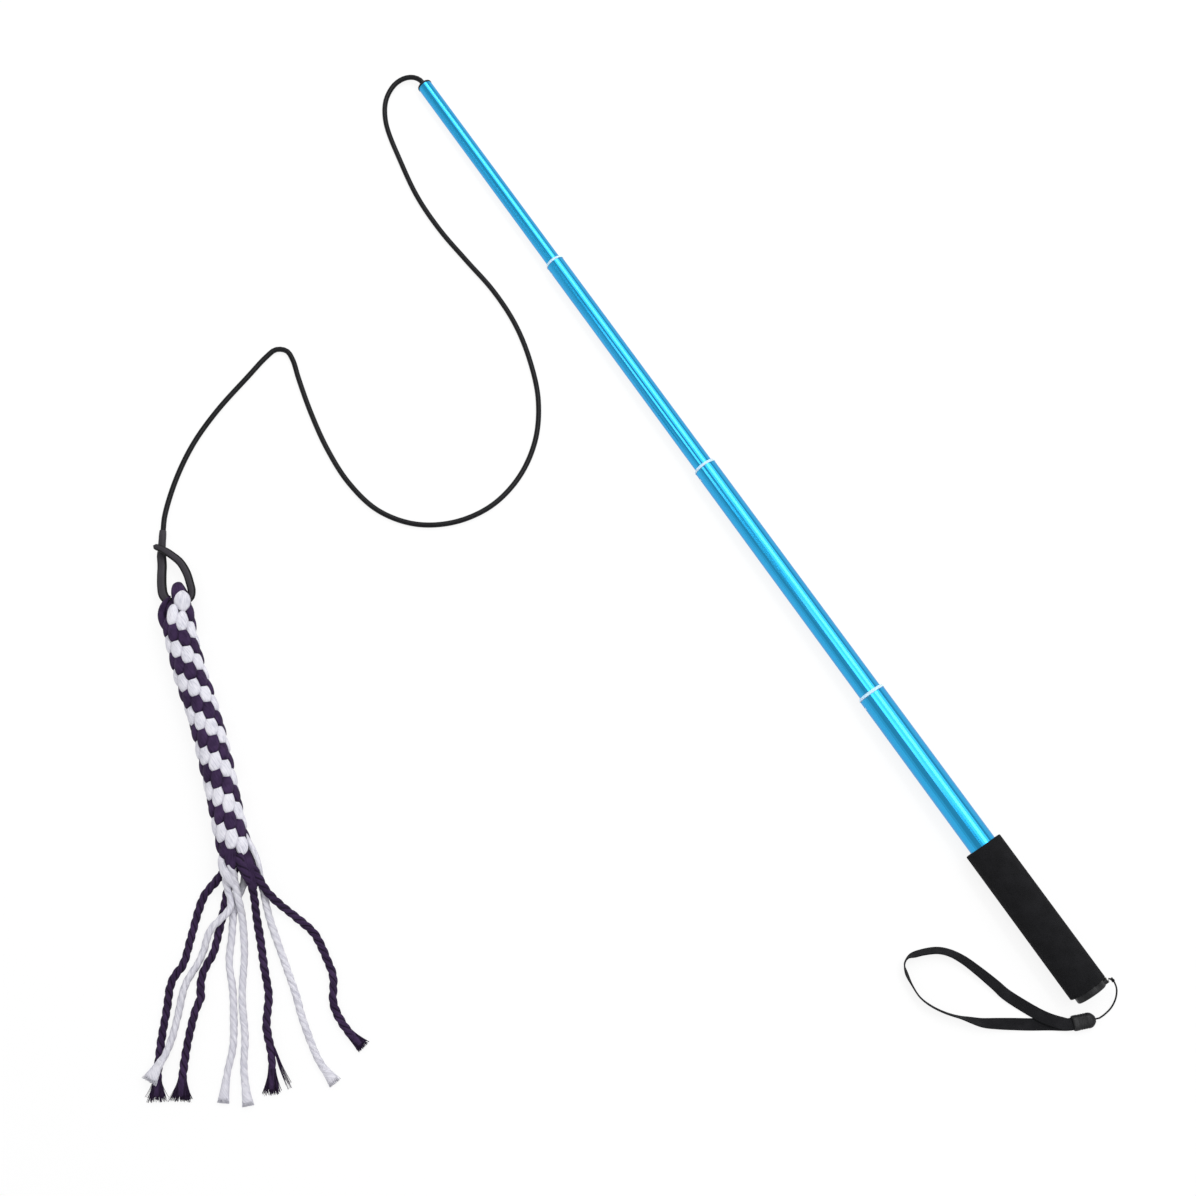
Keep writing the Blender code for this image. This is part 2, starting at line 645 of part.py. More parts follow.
def make_eyelet(finish, parent):
    """Metal eyelet pressed into the cap's boss, its flange standing just proud of the foam."""
    x, mouth = eyelet_place()
    seat = mouth + TOUCH_GAP
    outline = [
        (-EYELET_BARREL, EYELET_HOLE_RADIUS),
        (-EYELET_BARREL, EYELET_BARREL_RADIUS),
        (0.0, EYELET_BARREL_RADIUS),
        (0.0, EYELET_FLANGE_RADIUS),
        (EYELET_FLANGE * 0.4, EYELET_FLANGE_RADIUS),
        (EYELET_FLANGE, EYELET_FLANGE_RADIUS * 0.8),
        (EYELET_FLANGE, EYELET_HOLE_RADIUS),
    ]
    bm = turned(outline, SMALL_SIDES)
    place = Matrix.Translation((x, seat, 0)) @ Matrix.Rotation(math.pi / 2, 4, "Z")
    bmesh.ops.transform(bm, matrix=place, verts=bm.verts)
    return mesh_object("strap_eyelet", bm, finish, parent)


def bead_axis(distance):
    """Place, along X and Y from the strap's pivot, of a point on the bead's axis, ahead of its centre."""
    return (
        BEAD_CENTRE[0] + distance * math.cos(BEAD_HEADING),
        BEAD_CENTRE[1] + distance * math.sin(BEAD_HEADING),
    )


def make_thin_cord(finish, parent, ground):
    """Thin cord from the eyelet's mouth, down to the surface and round into the bead."""
    radius = THIN_CORD_DIAMETER / 2
    rest = ground + radius + SURFACE_GAP
    points = [(0.0, 0.0, 0.0)]
    points += [(x, y, rest + lift) for x, y, lift in THIN_CORD_ROUTE]
    bead_height = ground + BEAD_HEIGHT / 2
    points.append((*bead_axis(BEAD_LENGTH / 2 + BEAD_LEAD), bead_height))
    path = smooth_route(points, THIN_CORD_DIAMETER * 2)
    path.append(Vector((*bead_axis(BEAD_LENGTH / 2 - BEAD_HELD_LENGTH), bead_height)))
    return tube_along("strap_thin_cord", path, radius, finish, parent)


def make_bead(finish, parent, ground):
    """Moulded bead: a slot for the webbing's two ends and a hole for the thin cord."""
    bm = bmesh.new()
    bmesh.ops.create_cube(bm, size=1.0, matrix=Matrix.Diagonal((BEAD_LENGTH, BEAD_WIDTH, BEAD_HEIGHT, 1.0)))
    bead = mesh_object("strap_bead", bm, finish, parent)
    bead.location = (*BEAD_CENTRE, ground + BEAD_HEIGHT / 2)
    bead.rotation_euler = (0.0, 0.0, BEAD_HEADING)
    rounding = bead.modifiers.new("rounded_edges", "BEVEL")
    rounding.width = BEAD_EDGE
    rounding.segments = 3
    rounding.limit_method = "NONE"
    slot_height = 2 * WEBBING_THICKNESS + 3 * BEAD_SLOT_GAP
    slot_width = WEBBING_WIDTH + 2 * BEAD_SLOT_GAP
    slot = block("bead_slot", (2 * BEAD_SLOT_DEPTH, slot_width, slot_height), (-BEAD_LENGTH / 2, 0.0, 0.0))
    combine(bead, slot, "DIFFERENCE")
    hole_start = BEAD_LENGTH / 2 - BEAD_HOLE_DEPTH
    radius = THIN_CORD_DIAMETER / 2 + TOUCH_GAP
    hole = cylinder("bead_hole", radius, (hole_start, 0, 0), (BEAD_LENGTH, 0, 0), PEG_SIDES)
    combine(bead, hole, "DIFFERENCE")
    return bead


def webbing_points(ground):
    """Evenly spaced middle points of the webbing, as high as its roll needs, each with its roll."""
    held = bead_axis(BEAD_HELD_LENGTH - BEAD_LENGTH / 2)
    lead = bead_axis(-BEAD_LEAD - BEAD_LENGTH / 2)
    apart = (WEBBING_THICKNESS + BEAD_SLOT_GAP) / 2
    level = BEAD_HEIGHT / 2 - WEBBING_THICKNESS / 2 - SURFACE_GAP
    route = [(*held, 0, level - apart), (*lead, 0, level - apart)]
    route += WEBBING_ROUTE
    route += [(*lead, 180, level + apart), (*held, 180, level + apart)]
    values = [(x, y, 0.0, math.radians(roll), lift) for x, y, roll, lift in route]
    points = []
    for x, y, _, roll, lift in smooth_route(values, WEBBING_STEP):
        height = WEBBING_WIDTH / 2 * abs(math.sin(roll)) + WEBBING_THICKNESS / 2 * abs(math.cos(roll))
        points.append((Vector((x, y, ground + SURFACE_GAP + height + max(0.0, lift))), roll))
    return points


def make_webbing(finish, parent, ground):
    """Flat webbing that runs out of the bead, stands on edge round the far end of its loop and comes back."""
    points = webbing_points(ground)
    bm = bmesh.new()
    rings = []
    for index, (point, roll) in enumerate(points):
        before = points[max(0, index - 1)][0]
        after = points[min(len(points) - 1, index + 1)][0]
        heading = (after - before).normalized()
        side = Vector((-heading.y, heading.x, 0.0)).normalized()
        across = side * math.cos(roll) + Vector((0, 0, 1)) * math.sin(roll)
        normal = heading.cross(across).normalized()
        half_width = across * (WEBBING_WIDTH / 2)
        half_thickness = normal * (WEBBING_THICKNESS / 2)
        corners = (
            point + half_width + half_thickness,
            point - half_width + half_thickness,
            point - half_width - half_thickness,
            point + half_width - half_thickness,
        )
        rings.append([bm.verts.new(corner) for corner in corners])
    for ring, following in zip(rings, rings[1:]):
        for corner in range(4):
            after = (corner + 1) % 4
            bm.faces.new((ring[corner], ring[after], following[after], following[corner]))
    bm.faces.new(rings[0])
    bm.faces.new(reversed(rings[-1]))
    return mesh_object("wrist_webbing", bm, finish, parent)


def make_cord(finish, parent, ground):
    """The long cord: from its stop in the tip, out along the pole's axis, and loosely over the surface."""
    inner_end = cord_stop_front() + STOP_LENGTH + CORD_TAIL
    slope = math.tan(pole_tilt())
    straight = [Vector((x, 0.0, x * slope)) for x in (inner_end, inner_end / 2, 0.0, -CORD_DIAMETER / 2)]
    rest = ground + CORD_DIAMETER / 2 + SURFACE_GAP
    loose = [(x, y, rest + lift) for x, y, lift in CORD_ROUTE]
    points = straight[:-1] + kept_above(smooth_route([straight[-1], *loose], CORD_STEP), rest)
    return tube_along("cord", points, CORD_DIAMETER / 2, finish, parent)


def make_cord_sleeve(finish, parent, ground):
    """Shrunk sleeve that joins the cord to its eye."""
    height = ground + EYE_DIAMETER / 2 + SURFACE_GAP
    ends = [Vector((x, y, height)) for x, y in SLEEVE_ENDS]
    return tube_along("cord_sleeve", ends, SLEEVE_DIAMETER / 2, finish, parent, 3)


def make_eye(finish, parent, ground):
    """Eye at the cord's end: it passes through the toy's rope loop, and its end crosses over its start."""
    low = EYE_DIAMETER / 2 + SURFACE_GAP
    rise = toy_pivot_height() - low
    route = [(x, y, ground + low + share * rise) for x, y, share in EYE_ROUTE]
    points = kept_above(smooth_route(route, EYE_STEP), ground + low)
    return tube_along("cord_eye", points, EYE_DIAMETER / 2, finish, parent)


def loop_radius():
    """Radius of the toy's rope loop, to the middle of its rope, round the eye."""
    return EYE_DIAMETER / 2 + LOOP_CLEARANCE + LOOP_ROPE_DIAMETER / 2


def toy_pivot_height():
    """Height of the eye's strand that the toy hangs on, with the rope loop just clear of the surface."""
    return loop_radius() + LOOP_ROPE_DIAMETER / 2 + TOUCH_GAP


def make_toy_loop(finish, parent):
    """Rope loop that stands round the eye's end and runs back into the braid."""
    radius = loop_radius()
    leg_end = BRAID_START - TOUCH_GAP
    points = [Vector((leg_end, 0.0, radius))]
    for step in range(LOOP_STEPS + 1):
        angle = math.pi / 2 + math.pi * step / LOOP_STEPS
        points.append(Vector((radius * math.cos(angle), 0.0, radius * math.sin(angle))))
    points.append(Vector((leg_end, 0.0, -radius)))
    return tube_along("toy_loop", points, LOOP_ROPE_DIAMETER / 2, finish, parent)


def braid_rows():
    """Distances along the braid of its rings: two to a bead, and closer ones where its ends round off."""
    spacing = BRAID_BEAD_PITCH / 2
    count = int((BRAID_LENGTH - 2 * BRAID_END_ROUNDING) / spacing)
    first = (BRAID_LENGTH - count * spacing) / 2
    ends = [BRAID_END_ROUNDING * share for share in BRAID_END_ROWS]
    middle = [first + spacing * index for index in range(count + 1)]
    return ends + middle + [BRAID_LENGTH - end for end in reversed(ends)]


def braid_radius(along, angle):
    """Radius of the braid's surface: eight columns of beads, each half a bead on from its neighbours."""
    phase = math.tau * (along - BRAID_LENGTH / 2) / BRAID_BEAD_PITCH
    bead = math.cos(BRAID_COLUMNS / 2 * angle) * math.cos(phase)
    radius = BRAID_DIAMETER / 2 - BRAID_BEAD_RELIEF * (1.0 - bead)
    near_end = min(along, BRAID_LENGTH - along)
    if near_end < BRAID_END_ROUNDING:
        fall = BRAID_END_FULLNESS * (1.0 - near_end / BRAID_END_ROUNDING)
        radius -= BRAID_END_ROUNDING * (1.0 - math.sqrt(1.0 - fall * fall))
    return radius


def braid_lean(along):
    """How far across the toy's line the braid's middle lies: the limp braid bends a little to one side."""
    for (start, before), (end, after) in zip(BRAID_LEAN, BRAID_LEAN[1:]):
        if along <= end:
            return before + (after - before) * (along - start) / (end - start)
    return BRAID_LEAN[-1][1]


def make_braid(finish, parent):
    """The braided body of the toy, lying on its beads."""
    sides = BRAID_COLUMNS * BRAID_SAMPLES_ACROSS
    centre_height = BRAID_DIAMETER / 2 - toy_pivot_height()
    bm = bmesh.new()
    rings = []
    for along in braid_rows():
        ring = []
        for side in range(sides):
            angle = math.tau * side / sides
            radius = braid_radius(along, angle)
            across = braid_lean(along) + radius * math.cos(angle)
            up = radius * math.sin(angle)
            ring.append(bm.verts.new((BRAID_START + along, across, centre_height + up)))
        rings.append(ring)
    for ring, following in zip(rings, rings[1:]):
        for side in range(sides):
            after = (side + 1) % sides
            bm.faces.new((ring[side], ring[after], following[after], following[side]))
    bm.faces.new(reversed(rings[0]))
    bm.faces.new(rings[-1])
    return mesh_object("toy_braid", bm, finish, parent, sharp_angle=60.0)


def make_tail(name, start_angle, route, finish, parent):
    """One loose rope end, from its place on the braid's end face down to the surface."""
    origin = BRAID_START + BRAID_LENGTH
    ground = -toy_pivot_height()
    rest = ground + ROPE_DIAMETER / 2 + SURFACE_GAP
    angle = math.radians(start_angle)
    ring_place = (
        braid_lean(BRAID_LENGTH) + TAIL_RING_RADIUS * math.cos(angle),
        ground + BRAID_DIAMETER / 2 + TAIL_RING_RADIUS * math.sin(angle),
    )
    start = Vector((origin + TOUCH_GAP, *ring_place))
    loose = [(origin + TOUCH_GAP + TAIL_LEAD, *ring_place)]
    loose += [(origin + along, across, rest + lift) for along, across, lift in route]
    points = [start] + kept_above(smooth_route(loose, TAIL_STEP), rest)
    return tube_along(name, points, ROPE_DIAMETER / 2, finish, parent)


def build():
    """Make every piece, each carried by the empty of the body that it moves with."""
    for old in list(bpy.data.objects):
        bpy.data.objects.remove(old, do_unlink=True)

    tube_metal = material("anodised_tube", (0.16, 0.62, 0.80), 0.22, 0.9)
    collar_plastic = material("white_plastic", (0.82, 0.88, 0.92), 0.35)
    sleeve_plastic = material("sleeve_plastic", (0.75, 0.76, 0.74), 0.45)
    plug_plastic = material("black_plastic", (0.02, 0.02, 0.022), 0.4)
    stop_metal = material("crimp_metal", (0.7, 0.7, 0.68), 0.35, 1.0)
    foam = material("grip_foam", (0.018, 0.018, 0.02), 0.85)
    cord_rubber = material("black_cord", (0.02, 0.02, 0.022), 0.5)
    strap_fabric = material("strap_webbing", (0.012, 0.012, 0.014), 0.8)
    white_rope = material("white_rope", (0.82, 0.81, 0.86), 0.9)
    purple_rope = material("purple_rope", (0.045, 0.025, 0.065), 0.9)

    tilt = pole_tilt()
    ground = -tip_height()
    pole = empty("pole_axis", (*POLE_TIP, tip_height()), rotation=(0.0, -tilt, 0.0))
    bodies = [empty(name, (0.0, 0.0, 0.0), pole) for name in SECTION_NAMES]

    for section, body in enumerate(bodies):
        make_tube(section, tube_metal, body)
        if section > 0:
            make_collar(section, collar_plastic, body)
        if section < 3:
            make_sleeve(section, sleeve_plastic, body)
    make_plug(plug_plastic, bodies[0])
    make_cord_stop(stop_metal, bodies[0])
    make_grip(foam, bodies[3])
    make_cap(plug_plastic, bodies[3])
    make_eyelet(stop_metal, bodies[3])

    # The cord and the toy lie level, so they hang from an empty at the tip that undoes the tilt
    level = empty("cord_exit", (0.0, 0.0, 0.0), bodies[0], (0.0, tilt, 0.0))
    make_cord(cord_rubber, level, ground)
    make_cord_sleeve(cord_rubber, level, ground)
    make_eye(cord_rubber, level, ground)
    toy = empty("toy_lift", (*TOY_PIVOT, ground + toy_pivot_height()), level, (0.0, 0.0, TOY_HEADING))
    make_toy_loop(purple_rope, toy)
    make_braid(white_rope, toy)
    for name, (start_angle, *route) in TAIL_ROUTES.items():
        finish = white_rope if "white" in name else purple_rope
        make_tail(name, start_angle, route, finish, toy)

    # The strap swings on the thin cord, just outside the eyelet
    x, mouth = eyelet_place()
    pivot_y = mouth + TOUCH_GAP + EYELET_FLANGE + TOUCH_GAP + THIN_CORD_DIAMETER / 2
    strap = empty("strap_swing", (x, pivot_y, 0.0), bodies[3], (0.0, tilt, 0.0))
    strap_ground = -(tip_height() + x * math.sin(tilt))
    make_thin_cord(cord_rubber, strap, strap_ground)
    make_bead(plug_plastic, strap, strap_ground)
    make_webbing(strap_fabric, strap, strap_ground)


build()
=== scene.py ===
import math
import random

import bpy
from mathutils import Matrix, Vector


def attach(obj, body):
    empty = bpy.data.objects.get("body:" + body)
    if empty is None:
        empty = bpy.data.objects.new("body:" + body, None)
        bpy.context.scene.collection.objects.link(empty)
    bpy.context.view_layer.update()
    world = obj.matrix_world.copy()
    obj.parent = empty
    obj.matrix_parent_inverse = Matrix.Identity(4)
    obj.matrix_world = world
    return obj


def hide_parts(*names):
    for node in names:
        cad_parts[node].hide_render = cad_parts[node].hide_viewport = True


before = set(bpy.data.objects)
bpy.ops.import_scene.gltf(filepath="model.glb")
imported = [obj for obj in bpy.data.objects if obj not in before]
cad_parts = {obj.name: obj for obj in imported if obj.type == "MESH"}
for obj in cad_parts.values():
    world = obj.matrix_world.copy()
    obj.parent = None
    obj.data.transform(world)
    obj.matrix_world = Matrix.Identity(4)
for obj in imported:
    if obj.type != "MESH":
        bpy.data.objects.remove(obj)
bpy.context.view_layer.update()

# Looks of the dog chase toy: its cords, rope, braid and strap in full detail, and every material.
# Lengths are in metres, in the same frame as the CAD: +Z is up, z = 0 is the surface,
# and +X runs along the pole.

# Values and routes, nearly all of them the same as in the CAD

POLE_TIP = Vector((-0.425, 0.2135, 0.005986))
POLE_TILT = 0.011126
TOY_PIVOT = Vector((-0.1605, -0.1605, 0.0091))
TOY_HEADING = math.radians(-17.46)
STRAP_PIVOT = Vector((0.422548, 0.2292, 0.015416))
SURFACE_GAP = 0.0001
UP = Vector((0, 0, 1))

CORD_DIAMETER = 0.0040
CORD_INNER_END = 0.0211
EYE_DIAMETER = 0.0056
EYE_THICKNESS = 0.0040
EYE_WIDTHS = (
    (0.0, 0.0052), (0.05, 0.0068), (0.34, 0.0070), (0.42, 0.0060), (0.56, 0.0058),
    (0.72, 0.0060), (0.90, 0.0056), (0.95, 0.0048), (1.0, 0.0044),
)
SLEEVE_DIAMETER = 0.0052

ROPE_DIAMETER = 0.0050
LOOP_ROPE_DIAMETER = 0.0054
LOOP_RADIUS = 0.0061
LOOP_REACH = 0.0124
BRAID_START = 0.0058
BRAID_LENGTH = 0.1885
BRAID_DIAMETER = 0.0240
BRAID_COLUMNS = 8
BRAID_HEIGHT = BRAID_DIAMETER / 2 - TOY_PIVOT.z
BRAID_LEAN = (
    (0.0, -0.0032), (0.010, -0.0046), (0.020, -0.0058), (0.050, -0.0052), (0.065, -0.0038), (0.080, -0.0025),
    (0.100, -0.0018), (0.130, -0.0020), (0.160, -0.0028), (0.1885, -0.0032),
)
TAIL_RING_RADIUS = 0.0084
TAIL_LEAD = 0.0022
TAIL_GAP = 0.0003

THIN_CORD_DIAMETER = 0.0012
WEBBING_WIDTH = 0.0083
WEBBING_THICKNESS = 0.0010
BEAD_LENGTH = 0.0158
BEAD_WIDTH = 0.0106
BEAD_HEIGHT = 0.0062
BEAD_HEADING = math.radians(67.4)
BEAD_CENTRE = (0.0144, -0.0283)
BEAD_SLOT_DEPTH = 0.0050
BEAD_SLOT_GAP = 0.0004
BEAD_HELD_LENGTH = 0.0026
BEAD_LEAD = 0.0030


def metres(route):
    """Places in metres from places in tenths of a millimetre."""
    return [tuple(value / 10000 for value in place) for place in route]


CORD_ROUTE = metres((
    (-60, -6, 39), (-112, -38, 31), (-146, -98, 22), (-148, -180, 13), (-108, -270, 6),
    (-40, -345, 1), (115, -430, 0), (455, -510, 0), (800, -566, 0), (1142, -572, 0),
    (1475, -542, 0), (1800, -509, 0), (2130, -522, 0), (2450, -595, 0), (2752, -719, 0),
    (3007, -914, 0), (3183, -1173, 0), (3258, -1466, 0), (3215, -1758, 0), (3065, -2012, 0),
    (2821, -2185, 0), (2518, -2252, 0), (2201, -2246, 0), (1881, -2197, 0), (1590, -2130, 0),
    (1435, -2088, 0), (1345, -2088, 0), (1290, -2150, 0), (1300, -2240, 0), (1362, -2440, 0),
    (1471, -2772, 0), (1600, -3052, 0), (1774, -3304, 0), (1975, -3516, 1), (2070, -3584, 4),
))
SLEEVE_ENDS = ((0.2073, -0.35862), (0.2184, -0.36600))
EYE_ROUTE = (
    (0.2187, -0.3662, 0.0), (0.2226, -0.3686, 0.02), (0.2310, -0.3726, 0.16),
    (0.2380, -0.3764, 0.45), (0.2460, -0.3802, 0.82), (0.2530, -0.3826, 0.98),
    (0.2593, -0.3816, 1.0), (0.26345, -0.37734, 1.0), (0.26450, -0.37400, 1.0),
    (0.26555, -0.37066, 1.0), (0.2650, -0.3668, 1.0), (0.2612, -0.3638, 1.0),
    (0.2556, -0.3620, 1.0), (0.2479, -0.3602, 1.0), (0.2383, -0.3600, 1.02),
    (0.2299, -0.3625, 1.05), (0.2230, -0.3656, 1.06), (0.2164, -0.3700, 1.02),
)
# Each loose end's angle round the braid in degrees, and its route from the braid's end
TAIL_ROUTES = {
    "white_1": (157.5, metres((
        (67, -124, 106), (120, -138, 84), (180, -142, 66), (244, -142, 55), (300, -162, 54),
        (350, -236, 56), (395, -315, 44), (450, -365, 20), (511, -402, 1), (588, -460, 0),
        (709, -579, 0), (904, -677, 0), (1035, -746, 4), (1128, -807, 30), (1185, -860, 54),
        (1265, -940, 52),
    ))),
    "white_2": (-67.5, metres((
        (70, -8, 4), (123, -26, 0), (170, -52, 0), (215, -86, 0), (270, -122, 0), (331, -153, 0),
        (389, -173, 0), (476, -199, 0), (647, -257, 0), (829, -275, 0), (950, -297, 0),
        (1195, -357, 0), (1355, -433, 0), (1537, -505, 0),
    ))),
    "white_3": (112.5, metres((
        (62, -68, 146), (120, -76, 112), (180, -83, 84), (235, -87, 70), (290, -90, 50),
        (357, -98, 16), (438, -110, 0), (618, -143, 0), (819, -203, 0), (936, -232, 0),
        (1157, -265, 0), (1368, -321, 0), (1603, -349, 0),
    ))),
    "white_4": (-22.5, metres((
        (70, 66, 40), (140, 76, 10), (208, 79, 0), (430, 78, 0), (625, 95, 0), (806, 114, 0),
        (992, 132, 0), (1133, 136, 0), (1351, 160, 0), (1462, 182, 0), (1624, 248, 0),
    ))),
    "purple_1": (-157.5, metres((
        (36, -132, 58), (85, -212, 32), (154, -318, 4), (239, -379, 0), (414, -475, 0),
        (575, -568, 0), (630, -636, 0), (691, -681, 0), (822, -732, 0), (1027, -818, 0),
        (1235, -888, 0), (1392, -930, 0),
    ))),
    "purple_2": (-112.5, metres((
        (62, -98, 4), (158, -154, 0), (224, -184, 0), (288, -213, 0), (410, -272, 0),
        (558, -350, 0), (606, -396, 0), (666, -446, 0), (738, -479, 0), (824, -499, 0),
        (890, -547, 0), (1050, -630, 0), (1212, -699, 0), (1437, -775, 0),
    ))),
    "purple_3": (67.5, metres((
        (112, 16, 140), (192, 22, 76), (281, 12, 24), (375, -4, 0), (561, -17, 0), (743, -34, 0),
        (939, -48, 0), (1036, -79, 0), (1132, -109, 0), (1338, -122, 0), (1566, -176, 0),
    ))),
    "purple_4": (22.5, metres((
        (97, 68, 116), (174, 88, 92), (256, 112, 60), (329, 150, 34), (395, 194, 10), (460, 242, 0),
        (616, 347, 0), (709, 374, 0), (820, 393, 0), (930, 406, 0), (1018, 388, 0), (1095, 366, 0),
        (1167, 368, 0), (1243, 386, 0), (1322, 416, 0), (1449, 485, 0),
    ))),
}
THIN_CORD_ROUTE = metres((
    (7, 9, 144), (22, 21, 132), (54, 28, 104), (100, 21, 66), (146, -13, 32), (178, -69, 12),
    (188, -137, 14),
))
WEBBING_ROUTE = (
    (0.0070, -0.0431, 0, 0.0006), (0.0032, -0.0484, 0, 0.0001), (-0.0043, -0.0598, 2, 0.0),
    (-0.0113, -0.0698, 12, 0.0), (-0.0172, -0.0782, 24, 0.0), (-0.0233, -0.0864, 40, 0.0),
    (-0.0298, -0.0926, 60, 0.0), (-0.0344, -0.0967, 74, 0.0), (-0.0425, -0.1034, 78, 0.0),
    (-0.0522, -0.1090, 78, 0.0), (-0.0606, -0.1116, 78, 0.0), (-0.0698, -0.1113, 76, 0.0),
    (-0.0786, -0.1097, 68, 0.0), (-0.0841, -0.1073, 82, 0.0), (-0.0862, -0.1037, 90, 0.0),
    (-0.0858, -0.0989, 98, 0.0), (-0.0836, -0.0918, 106, 0.0), (-0.0788, -0.0825, 112, 0.0),
    (-0.0729, -0.0767, 120, 0.0), (-0.0640, -0.0717, 133, 0.0), (-0.0524, -0.0676, 146, 0.0),
    (-0.0377, -0.0633, 162, 0.0), (-0.0296, -0.0613, 170, 0.0), (-0.0139, -0.0546, 178, 0.0005),
    (-0.0049, -0.0502, 180, 0.0018), (0.0012, -0.0463, 180, 0.0024), (0.0072, -0.0413, 180, 0.0028),
)


# Smooth routes

SPLINE_SAMPLES = 24


def smooth_route(points, step):
    """Evenly spaced points on a smooth curve through the given ones; values after x, y and z follow."""
    points = [Vector(point) for point in points]
    ghosts = [2 * points[0] - points[1], *points, 2 * points[-1] - points[-2]]
    fine = []
    for corners in zip(ghosts, ghosts[1:], ghosts[2:], ghosts[3:]):
        knots = [0.0]
        for before, after in zip(corners, corners[1:]):
            knots.append(knots[-1] + math.dist(before[:3], after[:3]) ** 0.5)
        for sample in range(SPLINE_SAMPLES):
            value = knots[1] + (knots[2] - knots[1]) * sample / SPLINE_SAMPLES
            fine.append(spline_point(corners, knots, value))
    fine.append(points[-1])
    return evenly_spaced(fine, step)


def spline_point(corners, knots, value):
    """The point at a knot value on the Catmull-Rom curve through four points with the given knots."""
    level = list(corners)
    for spans in (((0, 1), (1, 2), (2, 3)), ((0, 2), (1, 3)), ((1, 2),)):
        pairs = zip(level, level[1:], spans)
        level = [blend(*ends, knots[low], knots[high], value) for *ends, (low, high) in pairs]
    return level[0]


def blend(first, second, low, high, value):
    """The point between first and second that a value marks between low and high."""
    return first * ((high - value) / (high - low)) + second * ((value - low) / (high - low))


def evenly_spaced(fine, step):
    """Points a constant distance apart along a line of many short pieces, with both ends kept."""
    lengths = distances(fine)
    count = max(2, round(lengths[-1] / step))
    spaced = []
    piece = 0
    for index in range(count + 1):
        wanted = lengths[-1] * index / count
        while piece < len(fine) - 2 and lengths[piece + 1] < wanted:
            piece += 1
        share = (wanted - lengths[piece]) / max(lengths[piece + 1] - lengths[piece], 1e-9)
        spaced.append(fine[piece].lerp(fine[piece + 1], min(1.0, share)))
    return spaced


def kept_above(points, lowest):
    """The same points, none of them lower than the given height."""
    return [Vector((point.x, point.y, max(point.z, lowest))) for point in points]


def distances(points):
    """Distance along a line of points to each of them."""
    total = [0.0]
    for before, after in zip(points, points[1:]):
        total.append(total[-1] + math.dist(before[:3], after[:3]))
    return total


# Mesh helpers

# Edges of a swept piece that bend by more degrees than this stay sharp
SHARP_ANGLE = 60


def mesh_piece(name, verts, faces, uvs, finish, sharp_angle=None, heights=None):
    """A mesh object with a uv in metres for each face corner, and how far each vertex stands proud, which
    sets its painted shade.
    """
    mesh = bpy.data.meshes.new(name)
    mesh.from_pydata([tuple(vert) for vert in verts], [], faces)
    if heights:
        mesh.attributes.new("painted_shade_height", "FLOAT", "POINT").data.foreach_set("value", heights)
    layer = mesh.uv_layers.new(name="UVMap")
    flat = [value for pair in uvs for value in pair]
    layer.data.foreach_set("uv", flat)
    mesh.validate()
    mesh.shade_smooth()
    if sharp_angle is not None:
        mesh.set_sharp_from_angle(angle=math.radians(sharp_angle))
    mesh.materials.append(finish)
    made = bpy.data.objects.new(name, mesh)
    bpy.context.scene.collection.objects.link(made)
    return made


def joined(name, parts, finish, sharp_angle=None):
    """One mesh object from several (verts, faces, uvs, heights) parts."""
    verts, faces, uvs, heights = [], [], [], []
    for part_verts, part_faces, part_uvs, part_heights in parts:
        first = len(verts)
        verts += part_verts
        faces += [tuple(index + first for index in face) for face in part_faces]
        uvs += part_uvs
        heights += part_heights
    return mesh_piece(name, verts, faces, uvs, finish, sharp_angle, heights)


def tangent_at(points, index):
    """Direction of a line of points at one of them."""
    before = points[max(0, index - 1)]
    after = points[min(len(points) - 1, index + 1)]
    return (after - before).normalized()


def carried_frames(points):
    """Two directions square to the line at each point, carried along it without twist."""
    across = UP.cross(tangent_at(points, 0)).normalized()
    frames = []
    for index in range(len(points)):
        heading = tangent_at(points, index)
        across = (across - heading * across.dot(heading)).normalized()
        frames.append((across, heading.cross(across)))
    return frames


def level_frames(points):
    """Two directions square to the line at each point, the first of them level."""
    frames = []
    for index in range(len(points)):
        heading = tangent_at(points, index)
        across = UP.cross(heading).normalized()
        frames.append((across, heading.cross(across)))
    return frames


def sweep(points, outlines, around, frames=None, ring_heights=None):
    """Verts, faces, uvs and heights of a closed tube of the given girth in its texture.

    The outlines hold each ring's (across, up) offsets, and the heights, which set the painted shade, are
    those of one ring.
    """
    frames = frames or carried_frames(points)
    along = distances(points)
    sides = len(outlines[0])
    verts = []
    for point, outline, (across, up) in zip(points, outlines, frames):
        verts += [point + across * wide + up * high for wide, high in outline]
    faces, uvs = [], []
    for ring in range(len(points) - 1):
        here, there = along[ring], along[ring + 1]
        low, high = ring * sides, (ring + 1) * sides
        for side in range(sides):
            after = (side + 1) % sides
            faces.append((low + side, low + after, high + after, high + side))
            start, end = around * side / sides, around * (side + 1) / sides
            uvs += [(here, start), (here, end), (there, end), (there, start)]
    for ring in (0, len(points) - 1):
        centre = len(verts)
        verts.append(points[ring].copy())
        for side in range(sides):
            after = (side + 1) % sides
            corner = (ring * sides + side, ring * sides + after, centre)
            faces.append(corner[::-1] if ring == 0 else corner)
            uvs += [(along[ring], around * side / sides)] * 3
    heights = list(ring_heights or [1.0] * sides) * len(points) + [0.5, 0.5]
    return verts, faces, uvs, heights


def swept_piece(name, points, outlines, finish, around, frames=None, ring_heights=None):
    """A mesh object of one closed tube with sharp ends."""
    body = sweep(points, outlines, around, frames, ring_heights)
    return joined(name, [body], finish, SHARP_ANGLE)


def round_outline(radius, sides, squash=1.0):
    """A circle or ellipse as (across, up) offsets."""
    turns = [math.tau * side / sides for side in range(sides)]
    return [(radius * math.cos(turn), radius * squash * math.sin(turn)) for turn in turns]


